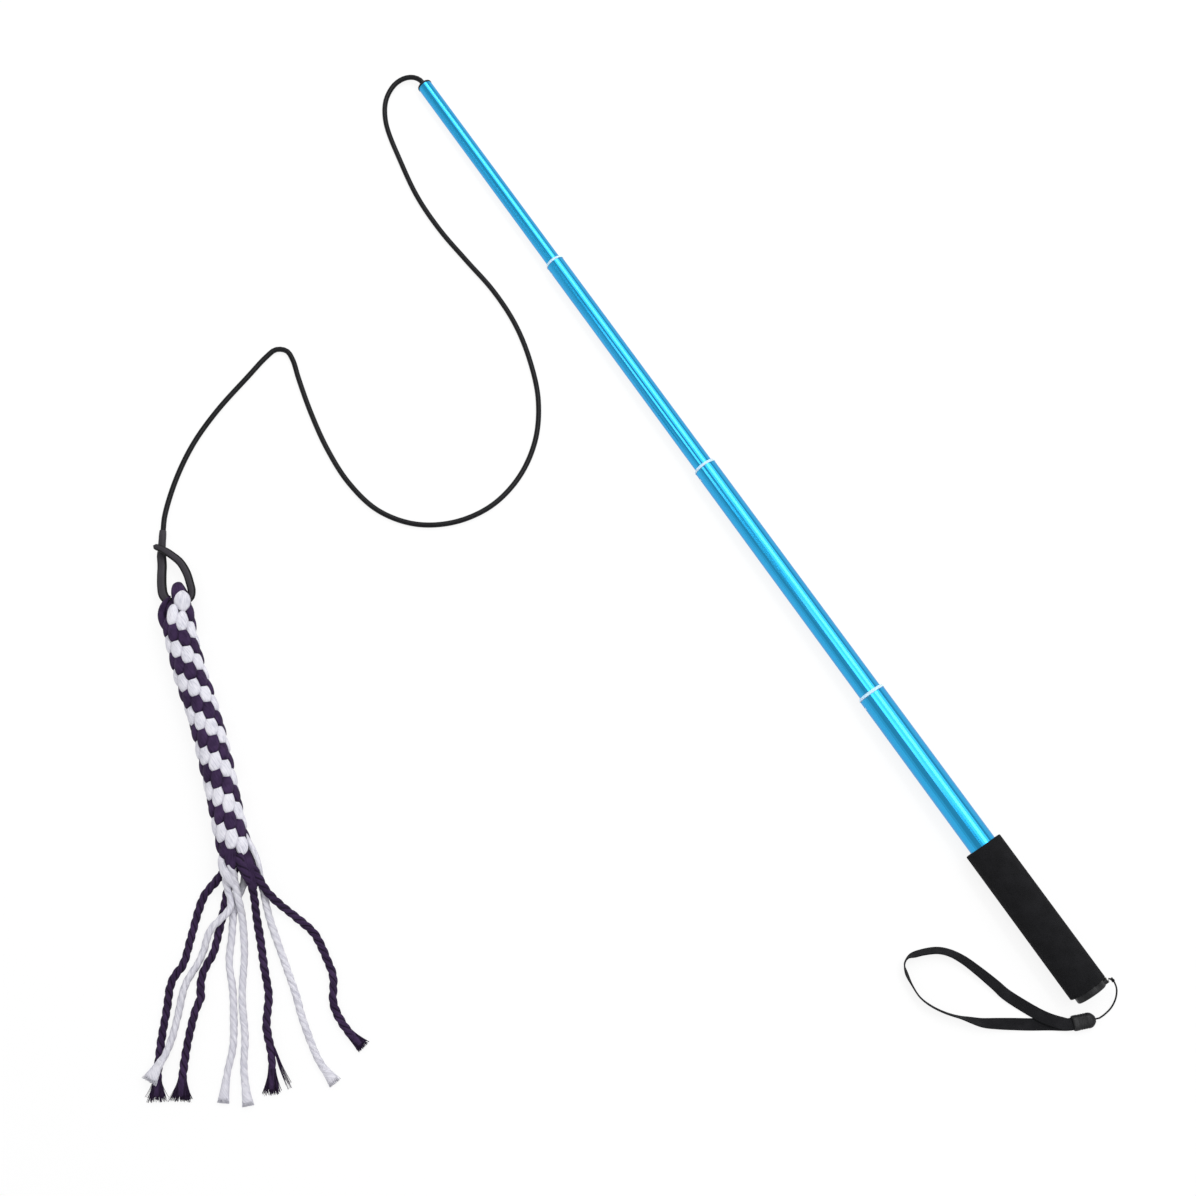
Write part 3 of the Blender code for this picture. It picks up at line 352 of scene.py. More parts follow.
def soft_box_outline(width, height, sides, power):
    """A rectangle with rounded corners as (across, up) offsets; a higher power makes them sharper."""
    outline = []
    for side in range(sides):
        turn = math.tau * (side + 0.5) / sides
        cosine, sine = math.cos(turn), math.sin(turn)
        reach = (abs(cosine) ** power + abs(sine) ** power) ** (-1 / power)
        outline.append((width / 2 * cosine * reach, height / 2 * sine * reach))
    return outline


# Twisted rope

ROPE_STEP = 0.0008
ROPE_PITCH = 0.0205
ROPE_PLIES = 3
PLY_SAMPLES = 8
# Angles of the points of one ply's outline, from the middle of the ply
PLY_TURNS = [(sample / PLY_SAMPLES - 0.5) * math.tau / ROPE_PLIES for sample in range(PLY_SAMPLES)]
YARN_SIDES = 5
# A yarn's thickness at its end, as a share of that at its root
YARN_TIP = 0.45


def ply_reach(turn, ply):
    """Reach of a rope's outline, for radius 1, at an angle from the middle of the nearest ply."""
    centre = 1.0 - ply
    return centre * math.cos(turn) + math.sqrt(ply ** 2 - (centre * math.sin(turn)) ** 2)


def rope_outline(radius, twist, ply, width, height):
    """Outline of a three-ply rope, turned by its twist; a smaller ply radius cuts deeper grooves."""
    outline = []
    for number in range(ROPE_PLIES):
        for local in PLY_TURNS:
            reach = radius * ply_reach(local, ply)
            turn = local + number * math.tau / ROPE_PLIES + twist
            outline.append((reach * math.cos(turn) * width, reach * math.sin(turn) * height))
    return outline


def ply_heights(ply):
    """How far each vertex of a rope's outline stands out of the grooves, from 0 to 1; low places get painted
    shade.
    """
    low = ply_reach(math.pi / ROPE_PLIES, ply)
    return [(ply_reach(turn, ply) - low) / (1.0 - low) for turn in PLY_TURNS] * ROPE_PLIES


def rope_sweep(points, radius, ply, start_twist, shapes):
    """A laid rope; shapes holds each point's size, width and height factors, and how loose its plies are."""
    outlines, heights = [], []
    for (size, width, height, loose), reached in zip(shapes, distances(points)):
        twist = start_twist - math.tau * reached / ROPE_PITCH
        outlines.append(rope_outline(radius * size, twist, ply + (0.97 - ply) * loose, width, height))
        # Painted groove shade, less of it where the plies are loose.
        heights += [proud + (1.0 - proud) * loose for proud in ply_heights(ply)]
    verts, faces, uvs, _ = sweep(points, outlines, math.tau * radius)
    return verts, faces, uvs, heights + [0.7, 0.7]


def yarn(points, radius, lit):
    """One loose yarn, thinner towards its end; lit sets how little painted shade it gets."""
    last = len(points) - 1
    sizes = [1.0 - (1.0 - YARN_TIP) * index / last for index in range(last + 1)]
    outlines = [round_outline(radius * size, YARN_SIDES) for size in sizes]
    return sweep(points, outlines, math.tau * radius, ring_heights=[lit] * YARN_SIDES)


# Material nodes

def add(tree, kind, inputs=None, **settings):
    """Add a shader node; an input's value is a number, a colour or another node's output."""
    made = tree.nodes.new("ShaderNode" + kind)
    for key, value in settings.items():
        setattr(made, key, value)
    for name, value in (inputs or {}).items():
        socket = made.inputs[name]
        if isinstance(value, bpy.types.NodeSocket):
            tree.links.new(value, socket)
        else:
            socket.default_value = value
    return made


def new_material(name, **constants):
    """A node material, its shader and its shader's constants."""
    made = bpy.data.materials.new(name)
    made.use_nodes = True
    tree = made.node_tree
    shader = tree.nodes["Principled BSDF"]
    for key, value in constants.items():
        shader.inputs[key.replace("_", " ")].default_value = value
    return made, tree, shader


def stretched(tree, output, scale):
    """Texture coordinates stretched by a scale along each axis."""
    coordinates = add(tree, "TexCoord")
    return add(tree, "Mapping", {"Vector": coordinates.outputs[output], "Scale": scale}).outputs["Vector"]


def unstretched(tree):
    """Texture coordinates of the object itself, in metres."""
    return stretched(tree, "Object", (1.0, 1.0, 1.0))


def noise(tree, vector, scale, detail=3.0, roughness=0.5):
    """Noise between 0 and 1."""
    inputs = {"Vector": vector, "Scale": scale, "Detail": detail, "Roughness": roughness}
    return add(tree, "TexNoise", inputs).outputs["Fac"]


def remap(tree, value, low, high, to_low, to_high):
    """Value from one range to another, clamped."""
    inputs = {"Value": value, "From Min": low, "From Max": high, "To Min": to_low, "To Max": to_high}
    return add(tree, "MapRange", inputs).outputs["Result"]


def maths(tree, operation, first, second):
    """One arithmetic operation on two values."""
    return add(tree, "Math", {0: first, 1: second}, operation=operation).outputs[0]


def colours(tree, share, first, second):
    """A colour between two, or of two sockets."""
    values = {0: share}
    for slot, colour in ((6, first), (7, second)):
        values[slot] = colour if isinstance(colour, bpy.types.NodeSocket) else (*colour, 1.0)
    return add(tree, "Mix", values, data_type="RGBA").outputs[2]


def painted_shade_height(tree):
    """How far a place stands proud of the grooves or edges beside it, from the mesh; it sets the painted
    shade.
    """
    return add(tree, "Attribute", attribute_name="painted_shade_height").outputs["Fac"]


def bump(tree, height, strength, distance, base=None):
    """A bump normal, on top of another one where given."""
    inputs = {"Height": height, "Strength": strength, "Distance": distance}
    if base is not None:
        inputs["Normal"] = base
    return add(tree, "Bump", inputs).outputs["Normal"]


def wire(tree, shader, **sockets):
    """Link outputs to the shader's inputs."""
    for key, output in sockets.items():
        tree.links.new(output, shader.inputs[key.replace("_", " ")])


def anodised_metal():
    """Light blue anodised aluminium, drawn along the tube, with faint scuffs."""
    made, tree, shader = new_material(
        "anodised_aluminium", Metallic=1.0, Coat_Weight=0.6, Coat_Roughness=0.08,
    )
    shader.inputs["Specular Tint"].default_value = (0.20, 0.50, 0.75, 1.0)
    drawn = noise(tree, stretched(tree, "Object", (9.0, 2600.0, 2600.0)), 1.0, 4.0, 0.6)
    cloudy = noise(tree, stretched(tree, "Object", (24.0, 60.0, 60.0)), 1.0, 2.0)
    scuffs = noise(tree, stretched(tree, "Object", (120.0, 420.0, 420.0)), 1.0, 6.0, 0.7)
    worn = remap(tree, scuffs, 0.62, 0.76, 0.0, 1.0)
    tone = colours(tree, drawn, (0.004, 0.33, 0.66), (0.010, 0.39, 0.75))
    tone = colours(tree, remap(tree, cloudy, 0.35, 0.7, 0.0, 0.4), tone, (0.016, 0.42, 0.78))
    tone = colours(tree, maths(tree, "MULTIPLY", worn, 0.10), tone, (0.12, 0.50, 0.74))
    gloss = remap(tree, drawn, 0.3, 0.7, 0.16, 0.20)
    gloss = maths(tree, "ADD", gloss, maths(tree, "MULTIPLY", worn, 0.06))
    wire(tree, shader, Base_Color=tone, Roughness=gloss, Normal=bump(tree, drawn, 0.02, 0.0001))
    return made


def nylon():
    """Milky white nylon with a faint moulded unevenness."""
    made, tree, shader = new_material(
        "milky_nylon", Subsurface_Weight=0.25, Subsurface_Scale=0.0015, Specular_IOR_Level=0.4,
    )
    place = unstretched(tree)
    fine = noise(tree, place, 900.0, 4.0)
    soft = noise(tree, place, 160.0, 2.0)
    tone = colours(tree, soft, (0.44, 0.66, 0.83), (0.52, 0.73, 0.89))
    wire(
        tree, shader, Base_Color=tone, Roughness=remap(tree, fine, 0.3, 0.7, 0.28, 0.44),
        Normal=bump(tree, fine, 0.12, 0.0001),
    )
    return made


def moulded_plastic(name, dark, light, low_gloss, high_gloss, shine):
    """Moulded plastic with a fine spark-eroded grain and slightly rubbed places."""
    made, tree, shader = new_material(name, Specular_IOR_Level=shine)
    place = unstretched(tree)
    fine = noise(tree, place, 1500.0, 3.0, 0.6)
    rubbed = noise(tree, place, 140.0, 4.0, 0.6)
    tone = colours(tree, remap(tree, rubbed, 0.4, 0.72, 0.0, 1.0), dark, light)
    wire(
        tree, shader, Base_Color=tone, Roughness=remap(tree, rubbed, 0.3, 0.7, high_gloss, low_gloss),
        Normal=bump(tree, fine, 0.30, 0.0001),
    )
    return made


def foam():
    """Matt closed-cell foam: fine open pores on a softly uneven skin."""
    made, tree, shader = new_material("closed_cell_foam", Specular_IOR_Level=0.06)
    place = unstretched(tree)
    pores = add(tree, "TexVoronoi", {"Vector": place, "Scale": 1500.0}).outputs["Distance"]
    pits_and_painted_shade = remap(tree, pores, 0.0, 0.42, 0.0, 1.0)
    grain = noise(tree, place, 2400.0, 3.0, 0.7)
    uneven = noise(tree, place, 120.0, 3.0)
    # Pores darker in their middles: painted shade in the pits.
    tone = colours(tree, pits_and_painted_shade, (0.003, 0.003, 0.003), (0.009, 0.009, 0.010))
    tone = colours(tree, remap(tree, uneven, 0.35, 0.7, 0.0, 0.5), tone, (0.015, 0.015, 0.017))
    rough = remap(tree, grain, 0.3, 0.7, 0.78, 0.95)
    normal = bump(tree, uneven, 0.35, 0.0008)
    normal = bump(tree, maths(tree, "ADD", pits_and_painted_shade, grain), 0.55, 0.00018, normal)
    wire(tree, shader, Base_Color=tone, Roughness=rough, Normal=normal)
    return made


def steel():
    """Plated steel with fine turning marks."""
    made, tree, shader = new_material("plated_steel", Metallic=1.0)
    place = unstretched(tree)
    marks = noise(tree, stretched(tree, "Object", (2600.0, 500.0, 500.0)), 1.0, 3.0)
    dull = noise(tree, place, 500.0, 4.0)
    tone = colours(tree, dull, (0.52, 0.52, 0.50), (0.74, 0.74, 0.72))
    wire(
        tree, shader, Base_Color=tone, Roughness=remap(tree, dull, 0.3, 0.7, 0.22, 0.42),
        Normal=bump(tree, marks, 0.12, 0.0001),
    )
    return made


def smooth_jacket(name, dark, light, low_gloss, high_gloss, shine, edge_shade=None):
    """Smooth black rubbery skin of a cord or band, with dust and marks; a given edge colour paints shade on
    its low places.
    """
    made, tree, shader = new_material(name, Specular_IOR_Level=shine)
    lines = noise(tree, stretched(tree, "UV", (60.0, 1700.0, 1.0)), 1.0, 3.0, 0.6)
    place = unstretched(tree)
    dust = noise(tree, place, 420.0, 5.0, 0.65)
    patches = noise(tree, place, 45.0, 3.0)
    tone = colours(tree, remap(tree, patches, 0.35, 0.7, 0.0, 0.7), dark, light)
    tone = colours(tree, remap(tree, dust, 0.60, 0.75, 0.0, 0.35), tone, (0.045, 0.045, 0.050))
    # Painted shade: where the mesh's height is low, the colour turns to the edge colour.
    if edge_shade:
        tone = colours(tree, remap(tree, painted_shade_height(tree), 0.25, 0.75, 0.0, 1.0), edge_shade, tone)
    wire(
        tree, shader, Base_Color=tone, Roughness=remap(tree, dust, 0.3, 0.7, low_gloss, high_gloss),
        Normal=bump(tree, maths(tree, "ADD", lines, dust), 0.16, 0.00012),
    )
    return made


def spun_cotton(name, groove_shade, hollow_shade, body, bright, loose, fuzz, shine):
    """Spun cotton: yarn lines along each ply, loose fibres, uneven dye, painted shade in grooves and
    hollows, and soft fuzz.
    """
    made, tree, shader = new_material(
        name, Sheen_Weight=fuzz, Sheen_Roughness=0.45, Specular_IOR_Level=shine,
    )
    yarns = noise(tree, stretched(tree, "UV", (150.0, 1500.0, 1.0)), 1.0, 2.0, 0.5)
    fibres = noise(tree, stretched(tree, "UV", (420.0, 6400.0, 1.0)), 1.0, 4.0, 0.65)
    place = unstretched(tree)
    patches = noise(tree, place, 110.0, 3.0)
    specks = noise(tree, place, 1500.0, 4.0, 0.7)
    # Darker hollows between yarns: partly the yarn's own tone, partly painted shade.
    tone = colours(tree, remap(tree, yarns, 0.30, 0.58, 0.0, 1.0), hollow_shade, body)
    tone = colours(tree, remap(tree, patches, 0.42, 0.72, 0.0, 0.6), tone, bright)
    tone = colours(tree, remap(tree, fibres, 0.60, 0.74, 0.0, 0.5), tone, loose)
    # Painted shade: the groove colour where the mesh's height is low, in the rope's grooves, on the beads'
    # sides, on the braid's core and in the tufts.
    proud = painted_shade_height(tree)
    yarn_relief = maths(tree, "MULTIPLY", maths(tree, "SUBTRACT", yarns, 0.5), 0.5)
    uneven = maths(tree, "ADD", proud, yarn_relief)
    tone = colours(tree, remap(tree, uneven, 0.0, 0.62, 0.0, 1.0), groove_shade, tone)
    rough = remap(tree, specks, 0.3, 0.7, 0.80, 0.98)
    normal = bump(tree, yarns, 0.95, 0.0007)
    normal = bump(tree, maths(tree, "ADD", fibres, specks), 0.45, 0.00016, normal)
    wire(tree, shader, Base_Color=tone, Roughness=rough, Normal=normal)
    return made


RIB_PITCH = 0.00085
THREAD_PITCH = 0.00105


def woven_webbing():
    """Black woven webbing: ribs across it that the warp passes over by turns, with painted highlights on the
    thread tops.
    """
    made, tree, shader = new_material("woven_webbing", Specular_IOR_Level=0.12)
    coordinates = add(tree, "TexCoord").outputs["UV"]
    apart = add(tree, "SeparateXYZ", {"Vector": coordinates})
    waves = []
    for axis, pitch in (("X", RIB_PITCH), ("Y", THREAD_PITCH)):
        turns = maths(tree, "MULTIPLY", apart.outputs[axis], math.tau / pitch)
        waves.append(maths(tree, "SINE", turns, 0.0))
    weave = maths(tree, "MULTIPLY", *waves)
    weave_relief_and_highlight = remap(tree, weave, -1.0, 1.0, 0.0, 1.0)
    place = unstretched(tree)
    fuzz = noise(tree, place, 2600.0, 4.0, 0.7)
    worn = noise(tree, place, 90.0, 3.0)
    # Painted highlight: the raised threads lighter, the low places darker.
    tone = colours(tree, weave_relief_and_highlight, (0.003, 0.003, 0.004), (0.013, 0.013, 0.015))
    tone = colours(tree, remap(tree, worn, 0.45, 0.75, 0.0, 0.5), tone, (0.020, 0.020, 0.023))
    normal = bump(tree, weave_relief_and_highlight, 0.8, 0.00022)
    normal = bump(tree, fuzz, 0.4, 0.00012, normal)
    rough = remap(tree, fuzz, 0.3, 0.7, 0.72, 0.92)
    wire(tree, shader, Base_Color=tone, Roughness=rough, Normal=normal)
    return made


ANODISED = anodised_metal()
NYLON = nylon()
SLEEVE_PLASTIC = moulded_plastic(
    "pale_sleeve_plastic", (0.62, 0.63, 0.61), (0.78, 0.79, 0.77), 0.36, 0.52, 0.5,
)
BLACK_PLASTIC = moulded_plastic(
    "moulded_black_plastic", (0.008, 0.008, 0.009), (0.020, 0.020, 0.022), 0.34, 0.50, 0.22,
)
STEEL = steel()
FOAM = foam()
CORD_SKIN = smooth_jacket("cord_skin", (0.004, 0.004, 0.005), (0.009, 0.009, 0.011), 0.24, 0.36, 0.15)
# The band's last colour is painted shade for its edges and underside.
BAND_SKIN = smooth_jacket(
    "band_skin", (0.028, 0.025, 0.031), (0.044, 0.040, 0.050), 0.36, 0.50, 0.16, (0.0012, 0.0012, 0.0015),
)
WEBBING = woven_webbing()
# In each cotton the first colour is painted groove shade, and the second is the hollows between yarns,
# partly own tone and partly painted shade.
WHITE_COTTON = spun_cotton(
    "white_cotton", (0.53, 0.52, 0.59), (0.45, 0.45, 0.53), (0.71, 0.70, 0.76), (0.80, 0.79, 0.84),
    (0.90, 0.89, 0.93), 0.10, 0.3,
)
PURPLE_COTTON = spun_cotton(
    "purple_cotton", (0.006, 0.003, 0.010), (0.014, 0.007, 0.024), (0.034, 0.018, 0.054),
    (0.064, 0.034, 0.098), (0.11, 0.075, 0.16), 0.03, 0.12,
)


# Camera, light and floor

CAMERA_PLACE = (0.27473, -0.08875, 1.17024)
CAMERA_TARGET = (0.00334, 0.0932, 0.0)
# Each lamp's place, size, power, and turn in its own plane in degrees
LAMPS = {
    "overhead_light": ((-0.35, 0.91, 1.40), (2.4, 1.68), 16.5, 0.0),
    "core_light": ((-0.35, 0.76, 1.38), (2.4, 0.22), 8.0, 0.0),
    "far_light": ((-0.35, 2.00, 1.40), (2.4, 0.50), 3.6, 0.0),
    "strip_light": ((-0.525, -0.68, 1.40), (2.87, 0.26), 5.6, 43.0),
}
# How steeply a line of sight rises where the white walls end, and where the grey ceiling is reached
WALL_TOP = 0.10
CEILING_START = 0.40
CEILING_LIGHT = 0.56
FLOOR_REACH = 6.0
FLOOR_GLOW = 0.86


def make_camera():
    """The camera at the photograph's place, looking down at the middle of the object."""
    data = bpy.data.cameras.new("camera")
    data.lens = 50.0
    data.sensor_width = 36.0
    data.clip_start = 0.01
    made = bpy.data.objects.new("camera", data)
    made.location = CAMERA_PLACE
    looking = Vector(CAMERA_TARGET) - made.location
    made.rotation_euler = looking.to_track_quat("-Z", "Y").to_euler()
    bpy.context.scene.collection.objects.link(made)
    bpy.context.scene.camera = made


def make_softbox(name, place, size, power, turn):
    """A large soft lamp that shines straight down."""
    data = bpy.data.lights.new(name, "AREA")
    data.shape = "RECTANGLE"
    data.size, data.size_y = size
    data.energy = power
    made = bpy.data.objects.new(name, data)
    made.location = place
    made.rotation_euler = (0.0, 0.0, math.radians(turn))
    bpy.context.scene.collection.objects.link(made)


def seen_directly(tree):
    """1 for rays from the camera, off metal or through glass, and 0 for rays that carry light."""
    path = add(tree, "LightPath")
    seen = maths(tree, "MAXIMUM", path.outputs["Is Camera Ray"], path.outputs["Is Glossy Ray"])
    return maths(tree, "MAXIMUM", seen, path.outputs["Is Transmission Ray"])


def make_world():
    """A plain room: white walls under a grey ceiling."""
    world = bpy.data.worlds.new("studio")
    bpy.context.scene.world = world
    world.use_nodes = True
    tree = world.node_tree
    shade = tree.nodes["Background"]
    shade.inputs["Color"].default_value = (1.0, 1.0, 1.0, 1.0)
    direction = add(tree, "TexCoord").outputs["Generated"]
    height = add(tree, "SeparateXYZ", {"Vector": direction}).outputs["Z"]
    light = remap(tree, height, WALL_TOP, CEILING_START, 1.0, CEILING_LIGHT)
    tree.links.new(light, shade.inputs["Strength"])


def make_floor():
    """A plain white floor that keeps a faint shadow."""
    made = bpy.data.materials.new("floor_white")
    made.use_nodes = True
    tree = made.node_tree
    tree.nodes.clear()
    lit = add(tree, "BsdfDiffuse", {"Color": (0.92, 0.92, 0.92, 1.0)})
    glow = add(tree, "Emission", {"Color": (1.0, 1.0, 1.0, 1.0), "Strength": 1.0})
    share = maths(tree, "MULTIPLY", seen_directly(tree), FLOOR_GLOW)
    mixed = add(tree, "MixShader", {0: share, 1: lit.outputs[0], 2: glow.outputs[0]})
    output = add(tree, "OutputMaterial")
    tree.links.new(mixed.outputs[0], output.inputs["Surface"])
    uvs = [(0, 0), (1, 0), (1, 1), (0, 1)]
    corners = [Vector((2 * u - 1, 2 * v - 1, 0)) * FLOOR_REACH for u, v in uvs]
    floor = mesh_piece("floor", corners, [(0, 1, 2, 3)], uvs, made)


bpy.context.scene.view_settings.view_transform = "Standard"
make_camera()
make_world()
make_floor()
for lamp_name, lamp in LAMPS.items():
    make_softbox(lamp_name, *lamp)


# CAD pieces that keep their shape

CAD_FINISHES = {
    ANODISED: ("tip_tube", "second_tube", "third_tube", "handle_tube"),
    NYLON: ("mouth_collar_1", "mouth_collar_2", "mouth_collar_3"),
    SLEEVE_PLASTIC: ("friction_sleeve_1", "friction_sleeve_2", "friction_sleeve_3"),
    BLACK_PLASTIC: ("tip_plug", "end_cap"),
    STEEL: ("cord_stop", "strap_eyelet"),
    FOAM: ("foam_grip",),
}

for finish, names in CAD_FINISHES.items():
    for name in names:
        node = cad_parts[name]
        node.data.materials.clear()
        node.data.materials.append(finish)


# The long cord, its sleeve and its eye

CORD_STEP = 0.0030
EYE_STEP = 0.0012
BAND_GIRTH = 0.019
SLEEVE_GIRTH = 0.016
# The sleeve's size at shares of its length: drawn in at both ends, swollen over what it holds
SLEEVE_PROFILE = (
    (0.0, 0.80), (0.02, 0.90), (0.10, 0.93), (0.22, 0.97), (0.40, 1.0), (0.55, 0.98),
    (0.72, 1.0), (0.88, 1.03), (0.97, 1.0), (1.0, 0.90),
)
TOY_TURN = Matrix.Rotation(TOY_HEADING, 3, "Z")


def on_toy(along, across, up):
    """A place measured from the toy's pivot along it, across it and up."""
    return TOY_PIVOT + TOY_TURN @ Vector((along, across, up))


def from_tip(x, y, height):
    """A place measured along X and Y from the pole's tip, and up from the surface."""
    return Vector((POLE_TIP.x + x, POLE_TIP.y + y, height))


def make_cord():
    """The long cord, from its stop in the tip to the sleeve that joins its eye."""
    radius = CORD_DIAMETER / 2
    rest = radius + SURFACE_GAP
    slope = math.tan(POLE_TILT)
    inside = [from_tip(x, 0.0, POLE_TIP.z + x * slope) for x in (CORD_INNER_END, CORD_INNER_END / 2, 0.0)]
    mouth = from_tip(-radius, 0.0, POLE_TIP.z - slope * radius)
    loose = [from_tip(x, y, rest + lift) for x, y, lift in CORD_ROUTE]
    points = inside + kept_above(smooth_route([mouth, *loose], CORD_STEP), rest)
    outlines = [round_outline(radius, 16)] * len(points)
    piece = swept_piece("cord_line", points, outlines, CORD_SKIN, math.pi * CORD_DIAMETER)
    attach(piece, "tip_section")
    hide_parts("cord")
    return piece, points


def make_cord_sleeve():
    """Shrunk sleeve over the joint of cord and eye."""
    height = EYE_DIAMETER / 2 + SURFACE_GAP
    start, end = (from_tip(x, y, height) for x, y in SLEEVE_ENDS)
    wide, high = 1.05 * SLEEVE_DIAMETER, 0.975 * SLEEVE_DIAMETER
    points = [start.lerp(end, share) for share, _ in SLEEVE_PROFILE]
    outlines = [soft_box_outline(wide * size, high * size, 24, 2.4) for _, size in SLEEVE_PROFILE]
    piece = swept_piece("cord_sleeve_skin", points, outlines, BAND_SKIN, SLEEVE_GIRTH)
    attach(piece, "tip_section")
    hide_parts("cord_sleeve")
    return piece


def value_along(table, share):
    """A value between the rows of a table of (share, value)."""
    for (low, before), (high, after) in zip(table, table[1:]):
        if share <= high:
            return before + (after - before) * (share - low) / (high - low)
    return table[-1][1]


def band_outline(width, thickness):
    """Section of the eye's band: flat, with a raised middle and rounded edges."""
    outline = []
    for across, up in soft_box_outline(width, thickness, 28, 3.0):
        middle = 1.0 - min(1.0, abs(across) / (width * 0.36)) ** 4
        outline.append((across, up * (0.78 + 0.22 * middle)))
    return outline


def make_eye():
    """Eye of flat rubbery band: it passes through the toy's rope loop and crosses over its own start."""
    low = EYE_DIAMETER / 2 + SURFACE_GAP
    rise = TOY_PIVOT.z - low
    route = [from_tip(x, y, low + share * rise) for x, y, share in EYE_ROUTE]
    points = kept_above(smooth_route(route, EYE_STEP), low)
    along = distances(points)
    outlines = []
    for reached in along:
        width = value_along(EYE_WIDTHS, reached / along[-1])
        blunt = max(0.0, 1.0 - (along[-1] - reached) / (width / 2))
        rounded = math.sqrt(max(0.02, 1.0 - blunt ** 2))
        outlines.append(band_outline(width * rounded, EYE_THICKNESS * (0.55 + 0.45 * rounded)))
    # Painted shade: the band's edges and underside are low, and only the middle of its upper face stays
    # unshaded.
    face = []
    for across, up in band_outline(1.0, 1.0):
        face.append(max(0.0, 1.0 - max(0.0, abs(across) - 0.22) / 0.22) if up > 0 else 0.0)
    piece = swept_piece("cord_eye_band", points, outlines, BAND_SKIN, BAND_GIRTH, level_frames(points), face)
    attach(piece, "tip_section")
    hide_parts("cord_eye")
    return piece, points


cord, cord_points = make_cord()
cord_sleeve = make_cord_sleeve()
eye, eye_points = make_eye()


# Rope loop and braid of the toy

LOOP_WIDTH = 0.0106
LOOP_NARROWING = 0.0034
LOOP_LEG_OVERLAP = 0.0012
LOOP_LEG_STEPS = 6
LOOP_TURN_STEPS = 40
LOOP_GIRTH = 0.024
# Distance between the beads of a column, and the place of one of them, as the photograph shows
VISIBLE_PITCH = 0.0124
VISIBLE_MIDDLE = 0.1174
BRAID_MARGIN = 0.0040
# How far the whole braid has turned about its length, in degrees, at distances from its start
BRAID_TWIST = (
    (0.0, 13.0), (0.0087, 18.0), (0.0385, 26.0), (0.0643, 41.0), (0.0900, 61.0), (0.1180, 82.0),
    (0.1465, 105.0), (0.1730, 126.0), (0.1885, 138.0), (0.2000, 147.0),
)
LOZENGE_STEPS = 14
LOZENGE_SIDES = 20
LOZENGE_HALF_LENGTH = 0.0079
LOZENGE_HALF_WIDTH = 0.0054
LOZENGE_HALF_HEIGHT = 0.0036
LOZENGE_RING_RADIUS = 0.0084
LOZENGE_SINK = 0.0009
WRAP_RADIUS = 0.0102
YARN_SLANT = math.radians(24.0)
CORE_STEPS = 40
CORE_END_RADIUS = 0.0066
CORE_SWELL = 0.0018
CORE_ROUNDING = 0.006
CORE_GIRTH = 0.05
STRAND_SIDES = 24
# Turns where the braid starts round the loop and where it lets its ends go:
# colour, half width, half height, and a route along, across and up from the toy's pivot
STRAND_TURNS = (
    ("white", 0.0060, 0.0038, metres(((-62, 26, 62), (30, 19, 86), (116, 10, 84)))),
    ("purple", 0.0030, 0.0030, metres((
        (-48, -60, 50), (6, -122, 42), (69, -153, 34), (138, -156, 30), (230, -132, 30),
    ))),
    ("purple", 0.0064, 0.0048, metres(((1810, 18, 70), (1980, 28, 58), (2170, 44, 12)))),
    ("white", 0.0040, 0.0034, metres((
        (1858, -114, 66), (1920, -119, 88), (2011, -114, 69), (2128, -85, 19),
    ))),
    ("purple", 0.0048, 0.0036, metres(((1820, -36, 80), (1920, -52, 110), (2020, -70, 92)))),
    ("purple", 0.0036, 0.0050, metres(((-35, -62, 0), (20, -86, 6), (130, -114, 9)))),
    ("white", 0.0023, 0.0023, metres((
        (1768, 72, 44), (1846, 84, 49), (1922, 96, 39), (1996, 101, 21), (2072, 99, -3),
        (2151, 96, -29),
    ))),
)
COTTONS = {"white": WHITE_COTTON, "purple": PURPLE_COTTON}


def make_toy_loop():
    """Rope loop that stands round the eye and runs back into the braid."""
    leg_end = BRAID_START + LOOP_LEG_OVERLAP
    leg = [leg_end * step / LOOP_LEG_STEPS for step in range(1, LOOP_LEG_STEPS + 1)]
    points = [(along, LOOP_RADIUS) for along in reversed(leg)]
    for step in range(LOOP_TURN_STEPS + 1):
        turn = math.pi / 2 + math.pi * step / LOOP_TURN_STEPS
        points.append((LOOP_REACH * math.cos(turn), LOOP_RADIUS * math.sin(turn)))
    points += [(along, -LOOP_RADIUS) for along in leg]
    line = [on_toy(along, 0.0, up) for along, up in points]
    side = TOY_TURN @ Vector((0, 1, 0))
    frames = [(side, tangent_at(line, index).cross(side).normalized()) for index in range(len(line))]
    outlines = []
    for along, _ in points:
        width = LOOP_WIDTH - LOOP_NARROWING * max(0.0, -along / LOOP_REACH) ** 3
        outlines.append(soft_box_outline(width, LOOP_ROPE_DIAMETER, 28, 2.1))
    rope = sweep(line, outlines, LOOP_GIRTH, frames)
    piece = joined("toy_loop_rope", [rope], PURPLE_COTTON)
    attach(piece, "rope_toy")
    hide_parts("toy_loop")


def on_braid(along, angle, radius):
    """A place at a distance along the braid, at an angle round it and a radius from its middle."""
    turned_angle = angle + math.radians(value_along(BRAID_TWIST, max(0.0, along)))
    across = value_along(BRAID_LEAN, along) + radius * math.cos(turned_angle)
    return on_toy(BRAID_START + along, across, BRAID_HEIGHT + radius * math.sin(turned_angle))


def turned(x, y, angle):
    """A point of a plane, turned about the plane's origin."""
    return x * math.cos(angle) - y * math.sin(angle), x * math.sin(angle) + y * math.cos(angle)


def standing_out(rise):
    """How far a strand's surface stands out of the grooves beside it, from 0 to 1; low places get painted
    shade.
    """
    return max(0.0, 1.25 * rise - 0.25)


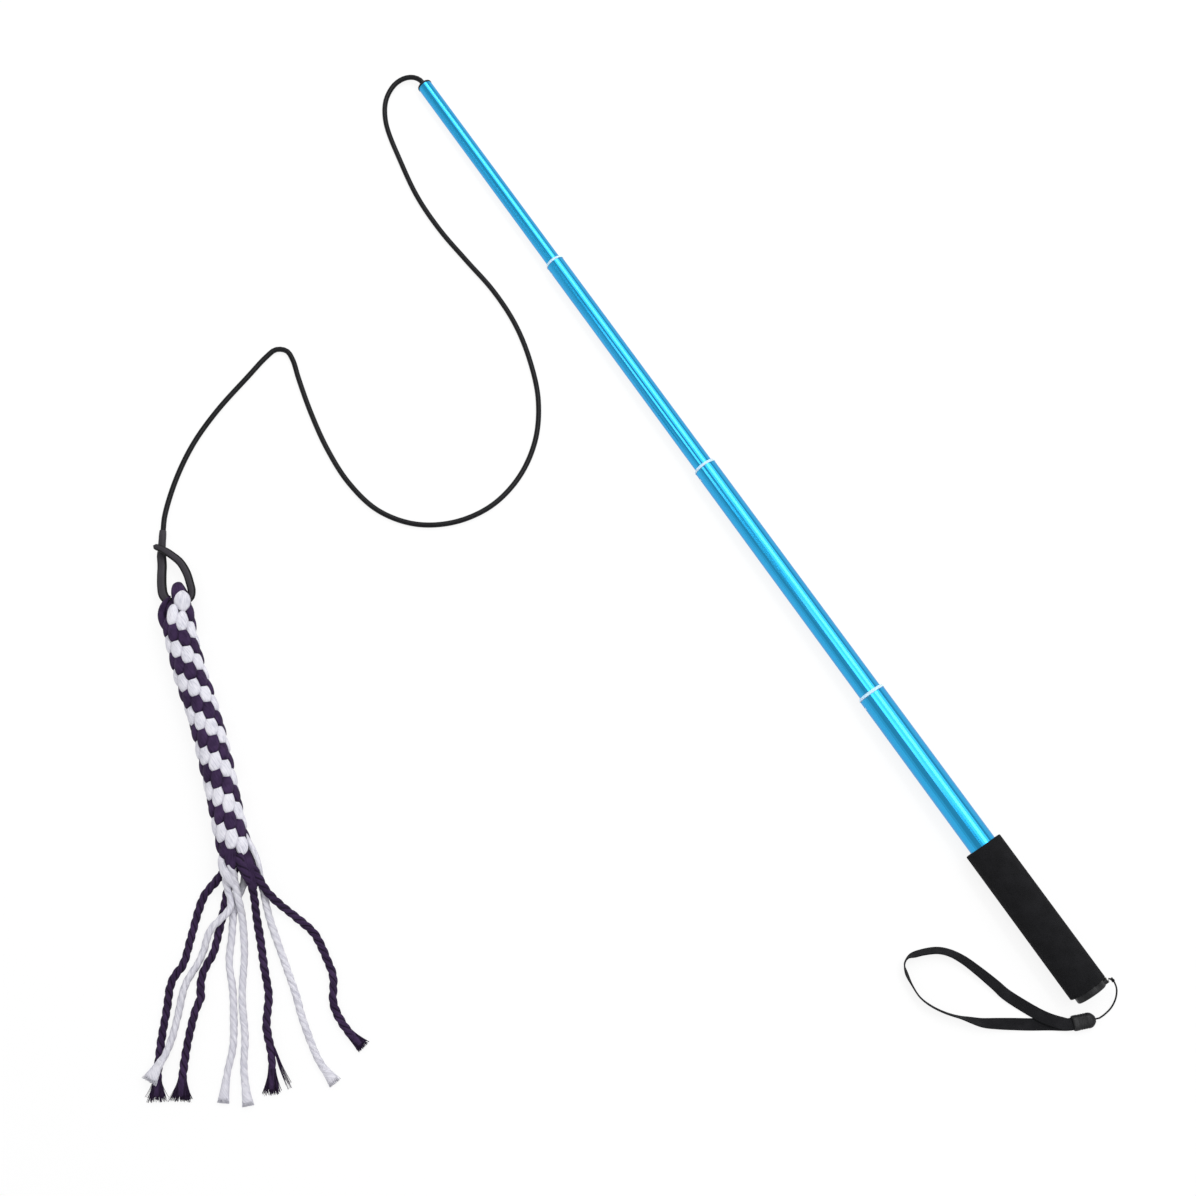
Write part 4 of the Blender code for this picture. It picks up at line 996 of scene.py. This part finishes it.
def braid_bead(along, angle, rng):
    """One visible turn of a strand: a plump lozenge, sunk at its upper end and proud at its lower end."""
    half_length = LOZENGE_HALF_LENGTH * rng.uniform(0.96, 1.05)
    half_width = LOZENGE_HALF_WIDTH * rng.uniform(0.95, 1.05)
    lean = math.radians(rng.uniform(-7.0, 9.0))
    offset = (rng.uniform(0.0, 3.0), rng.uniform(0.0, 3.0))
    verts, places, heights = [], [], []
    for step in range(LOZENGE_STEPS + 1):
        turn = math.pi * step / LOZENGE_STEPS
        x = -math.cos(turn)
        size = max(0.03, math.sin(turn)) ** 0.80
        for side in range(LOZENGE_SIDES):
            around = math.tau * side / LOZENGE_SIDES
            rise = math.sin(around) * size
            wide = math.copysign(abs(math.cos(around)) ** 0.88, math.cos(around)) * half_width * size
            ahead, beside = turned(x * half_length, wide, lean)
            with_yarn, over_yarn = turned(ahead, beside, YARN_SLANT)
            places.append((with_yarn + offset[0], over_yarn + offset[1]))
            # Painted shade: the lozenge's sides and underside take the groove colour.
            heights.append(standing_out(rise))
            radius = LOZENGE_RING_RADIUS + rise * LOZENGE_HALF_HEIGHT + LOZENGE_SINK * x
            verts.append(on_braid(along + ahead, angle + beside / WRAP_RADIUS, radius))
    faces = []
    for step in range(LOZENGE_STEPS):
        for side in range(LOZENGE_SIDES):
            after = (side + 1) % LOZENGE_SIDES
            low, high = step * LOZENGE_SIDES, (step + 1) * LOZENGE_SIDES
            faces.append((low + side, high + side, high + after, low + after))
    start = tuple(range(LOZENGE_SIDES))
    faces += [start, tuple(LOZENGE_STEPS * LOZENGE_SIDES + side for side in reversed(start))]
    uvs = [places[index] for face in faces for index in face]
    return verts, faces, uvs, heights


def strand_turn(route, half_width, half_height):
    """A longer turn of a strand along a few places on the toy, drawn in at both ends."""
    line = [on_toy(*place) for place in smooth_route(route, ROPE_STEP)]
    outlines = []
    for index in range(len(line)):
        size = max(0.05, math.sin(math.pi * index / (len(line) - 1))) ** 0.6
        outlines.append(round_outline(half_width * size, STRAND_SIDES, half_height / half_width))
    # Painted shade: the strand's sides and underside take the groove colour.
    heights = [standing_out(math.sin(math.tau * side / STRAND_SIDES)) for side in range(STRAND_SIDES)]
    return sweep(line, outlines, math.tau * half_width, level_frames(line), heights)


def braid_core():
    """The core under the beads, all in painted groove shade, thinner at both ends."""
    rows = [BRAID_LENGTH * step / CORE_STEPS for step in range(CORE_STEPS + 1)]
    line = [on_toy(BRAID_START + along, value_along(BRAID_LEAN, along), BRAID_HEIGHT) for along in rows]
    outlines = []
    for along in rows:
        inward = min(along, BRAID_LENGTH - along, CORE_ROUNDING) / CORE_ROUNDING
        outlines.append(round_outline(CORE_END_RADIUS + CORE_SWELL * inward ** 0.5, STRAND_SIDES))
    return sweep(line, outlines, CORE_GIRTH, ring_heights=[0.0] * STRAND_SIDES)


def make_braid():
    """The crown-sinnet body: eight columns of beads, half a bead apart, in two winding colours."""
    rng = random.Random(7)
    beads = {"white": [], "purple": []}
    half = VISIBLE_PITCH / 2
    first = -int((VISIBLE_MIDDLE - BRAID_MARGIN) / half)
    last = int((BRAID_LENGTH - BRAID_MARGIN - VISIBLE_MIDDLE) / half)
    for column in range(BRAID_COLUMNS):
        angle = column * math.tau / BRAID_COLUMNS
        for row in range(first, last + 1):
            if (row - column) % 2:
                continue
            colour = "purple" if ((row + column) // 2) % 2 else "white"
            beads[colour].append(braid_bead(VISIBLE_MIDDLE + row * half, angle, rng))
    beads["purple"].append(braid_core())
    for colour, half_width, half_height, route in STRAND_TURNS:
        beads[colour].append(strand_turn(route, half_width, half_height))
    for colour, finish in COTTONS.items():
        piece = joined(f"toy_braid_{colour}", beads[colour], finish)
        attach(piece, "rope_toy")
        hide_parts("toy_braid")


make_toy_loop()
make_braid()


# Loose rope ends

# Each colour's rope radius, its plies' share of that, and how far it sways with them
ROPE_KINDS = {"white": (0.00260, 0.76, 0.00003), "purple": (0.00290, 0.67, 0.00007)}
# How far inside the braid a loose end starts, and the number of its points before its route
TAIL_ROOT = 0.0030
TAIL_ROOT_STEPS = 6
# Each tuft's width at its cut, how far up the rope it opens, and how uneven its yarns are
TUFTS = {
    "purple_1": (0.0154, 0.0130, 0.17), "purple_2": (0.0154, 0.0130, 0.14),
    "purple_3": (0.0122, 0.0260, 0.17), "purple_4": (0.0100, 0.0120, 0.10),
    "white_1": (0.0118, 0.0170, 0.04), "white_2": (0.0082, 0.0140, 0.02),
    "white_3": (0.0086, 0.0140, 0.02), "white_4": (0.0092, 0.0120, 0.04),
}
TUFT_YARNS = 130
TUFT_STEPS = 7
TUFT_LENGTH = 0.0140
TUFT_OVERHANG = 0.0018
TUFT_RADII = (0.00022, 0.00030, 0.00038, 0.00048)
WISP_YARNS = 16
WISP_RADII = (0.00018, 0.00026, 0.00034)
WISP_STEP = 0.0030
# Along and across from the toy's pivot, and up from the surface
WISP_ROUTE = metres((
    (3150, -112, 35), (3224, -92, 35), (3365, -75, 32), (3516, -45, 18),
))


def make_tuft(name, points, radius, finish, rng):
    """Loose yarns at a rope's cut end, fanned out from where its plies let go."""
    width, opening, ragged = TUFTS[name]
    heading = tangent_at(points, len(points) - 2)
    side = UP.cross(heading).normalized()
    length = min(opening, TUFT_LENGTH)
    root = points[-1] - heading * length
    packed = radius * 0.85
    # Painted shade in the tuft: each yarn gets a random share of it, more for purple.
    darkest = 0.80 if finish == WHITE_COTTON else 0.25
    yarns = []
    for _ in range(TUFT_YARNS):
        turn = rng.uniform(0.0, math.tau)
        out = math.sqrt(rng.uniform(0.0, 1.0))
        across, up = math.cos(turn) * out, math.sin(turn) * out
        reach = (length + TUFT_OVERHANG) * rng.uniform(1.0 - ragged, 1.0 + ragged * 0.7)
        curl = rng.uniform(-0.008, 0.008) * ragged
        thickness = rng.choice(TUFT_RADII)
        lit = darkest + 0.20 * rng.random()
        line = []
        for step in range(TUFT_STEPS + 1):
            share = step / TUFT_STEPS
            opened = share ** 1.4
            wide = across * (packed + (width / 2 - packed) * opened) + curl * share ** 2
            high = up * packed * (1.0 - 0.30 * share) - 0.0008 * opened
            point = root + heading * (reach * share) + side * wide + UP * high
            point.z = max(point.z, SURFACE_GAP + thickness)
            line.append(point)
        yarns.append(yarn(line, thickness, lit))
    if name == "purple_3":
        yarns += wisp_yarns(rng)
    piece = joined(f"rope_tuft_{name}", yarns, finish)
    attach(piece, "rope_toy")
    return piece


def wisp_yarns(rng):
    """The bundle of yarns that has come away from the side of one purple end."""
    route = [on_toy(along, across, up - TOY_PIVOT.z) for along, across, up in WISP_ROUTE]
    middle = smooth_route(route, WISP_STEP)
    yarns = []
    for _ in range(WISP_YARNS):
        across, up = rng.uniform(-1.0, 1.0), rng.uniform(-1.0, 1.0)
        stop = len(middle) - rng.choice((0, 0, 1, 2))
        line = []
        for index, point in enumerate(middle[:stop]):
            side = UP.cross(tangent_at(middle, index))
            wide = 0.0005 + 0.0024 * (index / (len(middle) - 1)) ** 1.5
            line.append(point + side * (across * wide) + UP * (up * 0.0008))
        # Each yarn gets a random share of painted shade.
        yarns.append(yarn(line, rng.choice(WISP_RADII), 0.3 + 0.4 * rng.random()))
    return yarns


def tail_points(start_angle, route):
    """Closely spaced points of a loose rope end, from inside the braid's end to its cut."""
    origin = BRAID_START + BRAID_LENGTH
    rest = ROPE_DIAMETER / 2 + SURFACE_GAP - TOY_PIVOT.z
    across, up = turned(TAIL_RING_RADIUS, 0.0, math.radians(start_angle))
    ring = (BRAID_LEAN[-1][1] + across, BRAID_HEIGHT + up)
    start = origin + TAIL_GAP - TAIL_ROOT
    lead = [Vector((start + ROPE_STEP * step, *ring)) for step in range(TAIL_ROOT_STEPS)]
    loose = [(origin + TAIL_GAP + TAIL_LEAD, *ring)]
    loose += [(origin + along, across, rest + lift) for along, across, lift in route]
    line = kept_above(smooth_route(loose, ROPE_STEP), rest)
    return [on_toy(*point) for point in lead + line[:-2]]


def tail_shapes(name, along, radius, wobble):
    """Size, width and height factors of a loose end at each distance, and how loose its plies are."""
    width, opening, _ = TUFTS[name]
    brush = min(0.0047, width / 2 * 0.84) / radius if "white" in name else 0.62
    shapes = []
    for reached in along:
        left = along[-1] - reached
        uneven = 0.022 * math.sin(reached / 0.0093 + wobble[0])
        uneven += 0.016 * math.sin(reached / 0.0037 + wobble[1])
        full = 0.20 * max(0.0, 1.0 - reached / 0.030)
        opened = max(0.0, 1.0 - left / opening) ** 1.4
        rounded = math.sqrt(max(0.05, 1.0 - max(0.0, 1.0 - left / 0.0016) ** 2))
        size = (1.0 + uneven + full) * rounded
        shapes.append((size, 1.0 + (brush - 1.0) * opened, 1.0 - 0.35 * opened, min(1.0, 1.6 * opened)))
    return shapes


def make_tail(name, start_angle, route, rng):
    """One loose rope end with its frayed tuft."""
    colour = name.split("_")[0]
    finish, slot = COTTONS[colour], f"{colour}_rope"
    radius, ply, sway = ROPE_KINDS[colour]
    points = tail_points(start_angle, route)
    along = distances(points)
    wobble = [rng.uniform(0.0, math.tau) for _ in range(3)]
    swaying = []
    for index, reached in enumerate(along):
        side = UP.cross(tangent_at(points, index))
        turn = ROPE_PLIES * (math.tau * reached / ROPE_PITCH - wobble[2])
        swaying.append(points[index] + side * (sway * math.cos(turn)))
    body = rope_sweep(swaying, radius, ply, wobble[2], tail_shapes(name, along, radius, wobble))
    piece = joined(f"rope_tail_{name}", [body], finish)
    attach(piece, "rope_toy")
    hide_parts(f"rope_end_{name}")
    tuft = make_tuft(name, points, radius, finish, rng)


tail_rng = random.Random(11)
for tail_name, (tail_angle, tail_route) in TAIL_ROUTES.items():
    make_tail(tail_name, tail_angle, tail_route, tail_rng)


# Wrist strap

THIN_CORD_STEP = 0.0009
WEBBING_STEP = 0.0012
WEBBING_GIRTH = 0.0186
KNOT_PLACE = (0.0022, 0.0021, -0.0016)
KNOT_SIZE = 0.00042
KNOT_DEPTH = 0.00050
KNOT_STEPS = 60
KNOT_GIRTH = 0.0038
BEAD_STEPS = 64
BEAD_RIDGES = 4
BEAD_ROUNDING = 0.0010
BEAD_GIRTH = 0.03
BEAD_SHARP_ANGLE = 50
# The webbing lies flatter just past the far end of its loop than its CAD solid does: roll by route point
FLATTER_ROLLS = {15: 115, 16: 122, 17: 128, 18: 133, 19: 142, 20: 150}


def from_strap(x, y, z):
    """A place measured from the strap's pivot."""
    return STRAP_PIVOT + Vector((x, y, z))


def bead_axis(distance):
    """Place, along X and Y from the strap's pivot, of a point on the bead's axis, ahead of its centre."""
    ahead, across = turned(distance, 0.0, BEAD_HEADING)
    return BEAD_CENTRE[0] + ahead, BEAD_CENTRE[1] + across


def make_thin_cord():
    """Thin cord from the eyelet, down to the surface and round into the bead."""
    ground = -STRAP_PIVOT.z
    radius = THIN_CORD_DIAMETER / 2
    rest = ground + radius + SURFACE_GAP
    height = ground + BEAD_HEIGHT / 2
    route = [(0.0, 0.0, 0.0)]
    route += [(x, y, rest + lift) for x, y, lift in THIN_CORD_ROUTE]
    route.append((*bead_axis(BEAD_LENGTH / 2 + BEAD_LEAD), height))
    path = smooth_route(route, THIN_CORD_STEP)
    path.append(Vector((*bead_axis(BEAD_LENGTH / 2 - BEAD_HELD_LENGTH), height)))
    points = [STRAP_PIVOT + point for point in path]
    outlines = [round_outline(radius, 10)] * len(points)
    piece = swept_piece("strap_thin_line", points, outlines, CORD_SKIN, math.tau * radius)
    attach(piece, "wrist_strap")
    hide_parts("strap_thin_cord")
    return piece, points


def make_strap_knot():
    """Small overhand knot of the thin cord, just outside the eyelet."""
    points = []
    for step in range(KNOT_STEPS + 1):
        turn = math.tau * (step % KNOT_STEPS) / KNOT_STEPS
        x = (math.sin(turn) + 2 * math.sin(2 * turn)) * KNOT_SIZE
        y = -math.sin(3 * turn) * KNOT_DEPTH
        z = (math.cos(turn) - 2 * math.cos(2 * turn)) * KNOT_SIZE
        points.append(from_strap(*KNOT_PLACE) + Vector((x, y, z)))
    outlines = [round_outline(THIN_CORD_DIAMETER / 2, 8)] * len(points)
    piece = swept_piece("strap_knot", points, outlines, CORD_SKIN, KNOT_GIRTH)
    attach(piece, "wrist_strap")
    return piece


def bead_sections():
    """Place along the bead, width, height and squareness of its sections, from its nose into its slot."""
    half = BEAD_LENGTH / 2
    ridges_start, ridges_end = -0.55 * half, 0.30 * half
    ridge_length = (ridges_end - ridges_start) / BEAD_RIDGES
    sections = []
    for step in range(BEAD_STEPS + 1):
        x = half - BEAD_LENGTH * step / BEAD_STEPS
        nose = max(0.0, (x - ridges_end) / (half * 0.70))
        heel = max(0.0, (-x - half * 0.86) / (half * 0.14))
        width = BEAD_WIDTH * (1.0 - 0.62 * nose ** 2.6) - BEAD_ROUNDING * heel ** 2
        height = BEAD_HEIGHT * (1.0 - 0.52 * nose ** 3.0) - BEAD_ROUNDING * heel ** 2
        if ridges_start < x < ridges_end:
            ridge = 0.5 - 0.5 * math.cos(math.tau * (x - ridges_start) / ridge_length)
            width -= 0.00050 * ridge
            height -= 0.00042 * ridge
        sections.append((x, width, height, 3.6 - 1.1 * nose))
    slot_width = WEBBING_WIDTH + 2 * BEAD_SLOT_GAP
    slot_height = 2 * WEBBING_THICKNESS + 3 * BEAD_SLOT_GAP
    sections.append((-half, slot_width + 0.0004, slot_height + 0.0004, 6.0))
    sections.append((-half + 0.0002, slot_width, slot_height, 8.0))
    sections.append((-half + BEAD_SLOT_DEPTH, slot_width, slot_height, 8.0))
    return sections


def make_bead():
    """Moulded bead: rounded at the cord's end, faint grip ridges, and an open slot for the webbing."""
    centre = from_strap(*BEAD_CENTRE, BEAD_HEIGHT / 2 - STRAP_PIVOT.z)
    heading = Vector((math.cos(BEAD_HEADING), math.sin(BEAD_HEADING), 0.0))
    sections = bead_sections()
    points = [centre + heading * x for x, _, _, _ in sections]
    outlines = [soft_box_outline(width, height, 36, power) for _, width, height, power in sections]
    frames = [(UP.cross(heading), UP)] * len(points)
    body = sweep(points, outlines, BEAD_GIRTH, frames)
    piece = joined("strap_bead_body", [body], BLACK_PLASTIC, BEAD_SHARP_ANGLE)
    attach(piece, "wrist_strap")
    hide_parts("strap_bead")
    return piece


def webbing_points():
    """Middle points of the webbing, as high as its roll needs, each with its roll."""
    ground = -STRAP_PIVOT.z
    held = bead_axis(BEAD_HELD_LENGTH - BEAD_LENGTH / 2)
    lead = bead_axis(-BEAD_LEAD - BEAD_LENGTH / 2)
    apart = (WEBBING_THICKNESS + BEAD_SLOT_GAP) / 2
    level = BEAD_HEIGHT / 2 - WEBBING_THICKNESS / 2 - SURFACE_GAP
    route = [(*held, 0, level - apart), (*lead, 0, level - apart)]
    for index, (x, y, roll, lift) in enumerate(WEBBING_ROUTE):
        route.append((x, y, FLATTER_ROLLS.get(index, roll), lift))
    route += [(*lead, 180, level + apart), (*held, 180, level + apart)]
    values = [(x, y, 0.0, math.radians(roll), lift) for x, y, roll, lift in route]
    points = []
    for x, y, _, roll, lift in smooth_route(values, WEBBING_STEP):
        height = WEBBING_WIDTH / 2 * abs(math.sin(roll)) + WEBBING_THICKNESS / 2 * abs(math.cos(roll))
        points.append((from_strap(x, y, ground + SURFACE_GAP + height + max(0.0, lift)), roll))
    return points


def make_webbing():
    """Flat woven webbing: out of the bead, on edge round the far end of its loop, and back."""
    rolled = webbing_points()
    points = [point for point, _ in rolled]
    frames = []
    for index, (_, roll) in enumerate(rolled):
        heading = tangent_at(points, index)
        side = Vector((-heading.y, heading.x, 0.0)).normalized()
        across = side * math.cos(roll) + UP * math.sin(roll)
        across = (across - heading * across.dot(heading)).normalized()
        frames.append((across, heading.cross(across)))
    outlines = [soft_box_outline(WEBBING_WIDTH, WEBBING_THICKNESS, 24, 5.0)] * len(points)
    piece = swept_piece("wrist_webbing_strip", points, outlines, WEBBING, WEBBING_GIRTH, frames)
    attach(piece, "wrist_strap")
    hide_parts("wrist_webbing")
    return piece, points


thin_cord, thin_points = make_thin_cord()
strap_knot = make_strap_knot()
strap_bead = make_bead()
webbing, webbing_line = make_webbing()


# The end

bpy.context.view_layer.update()
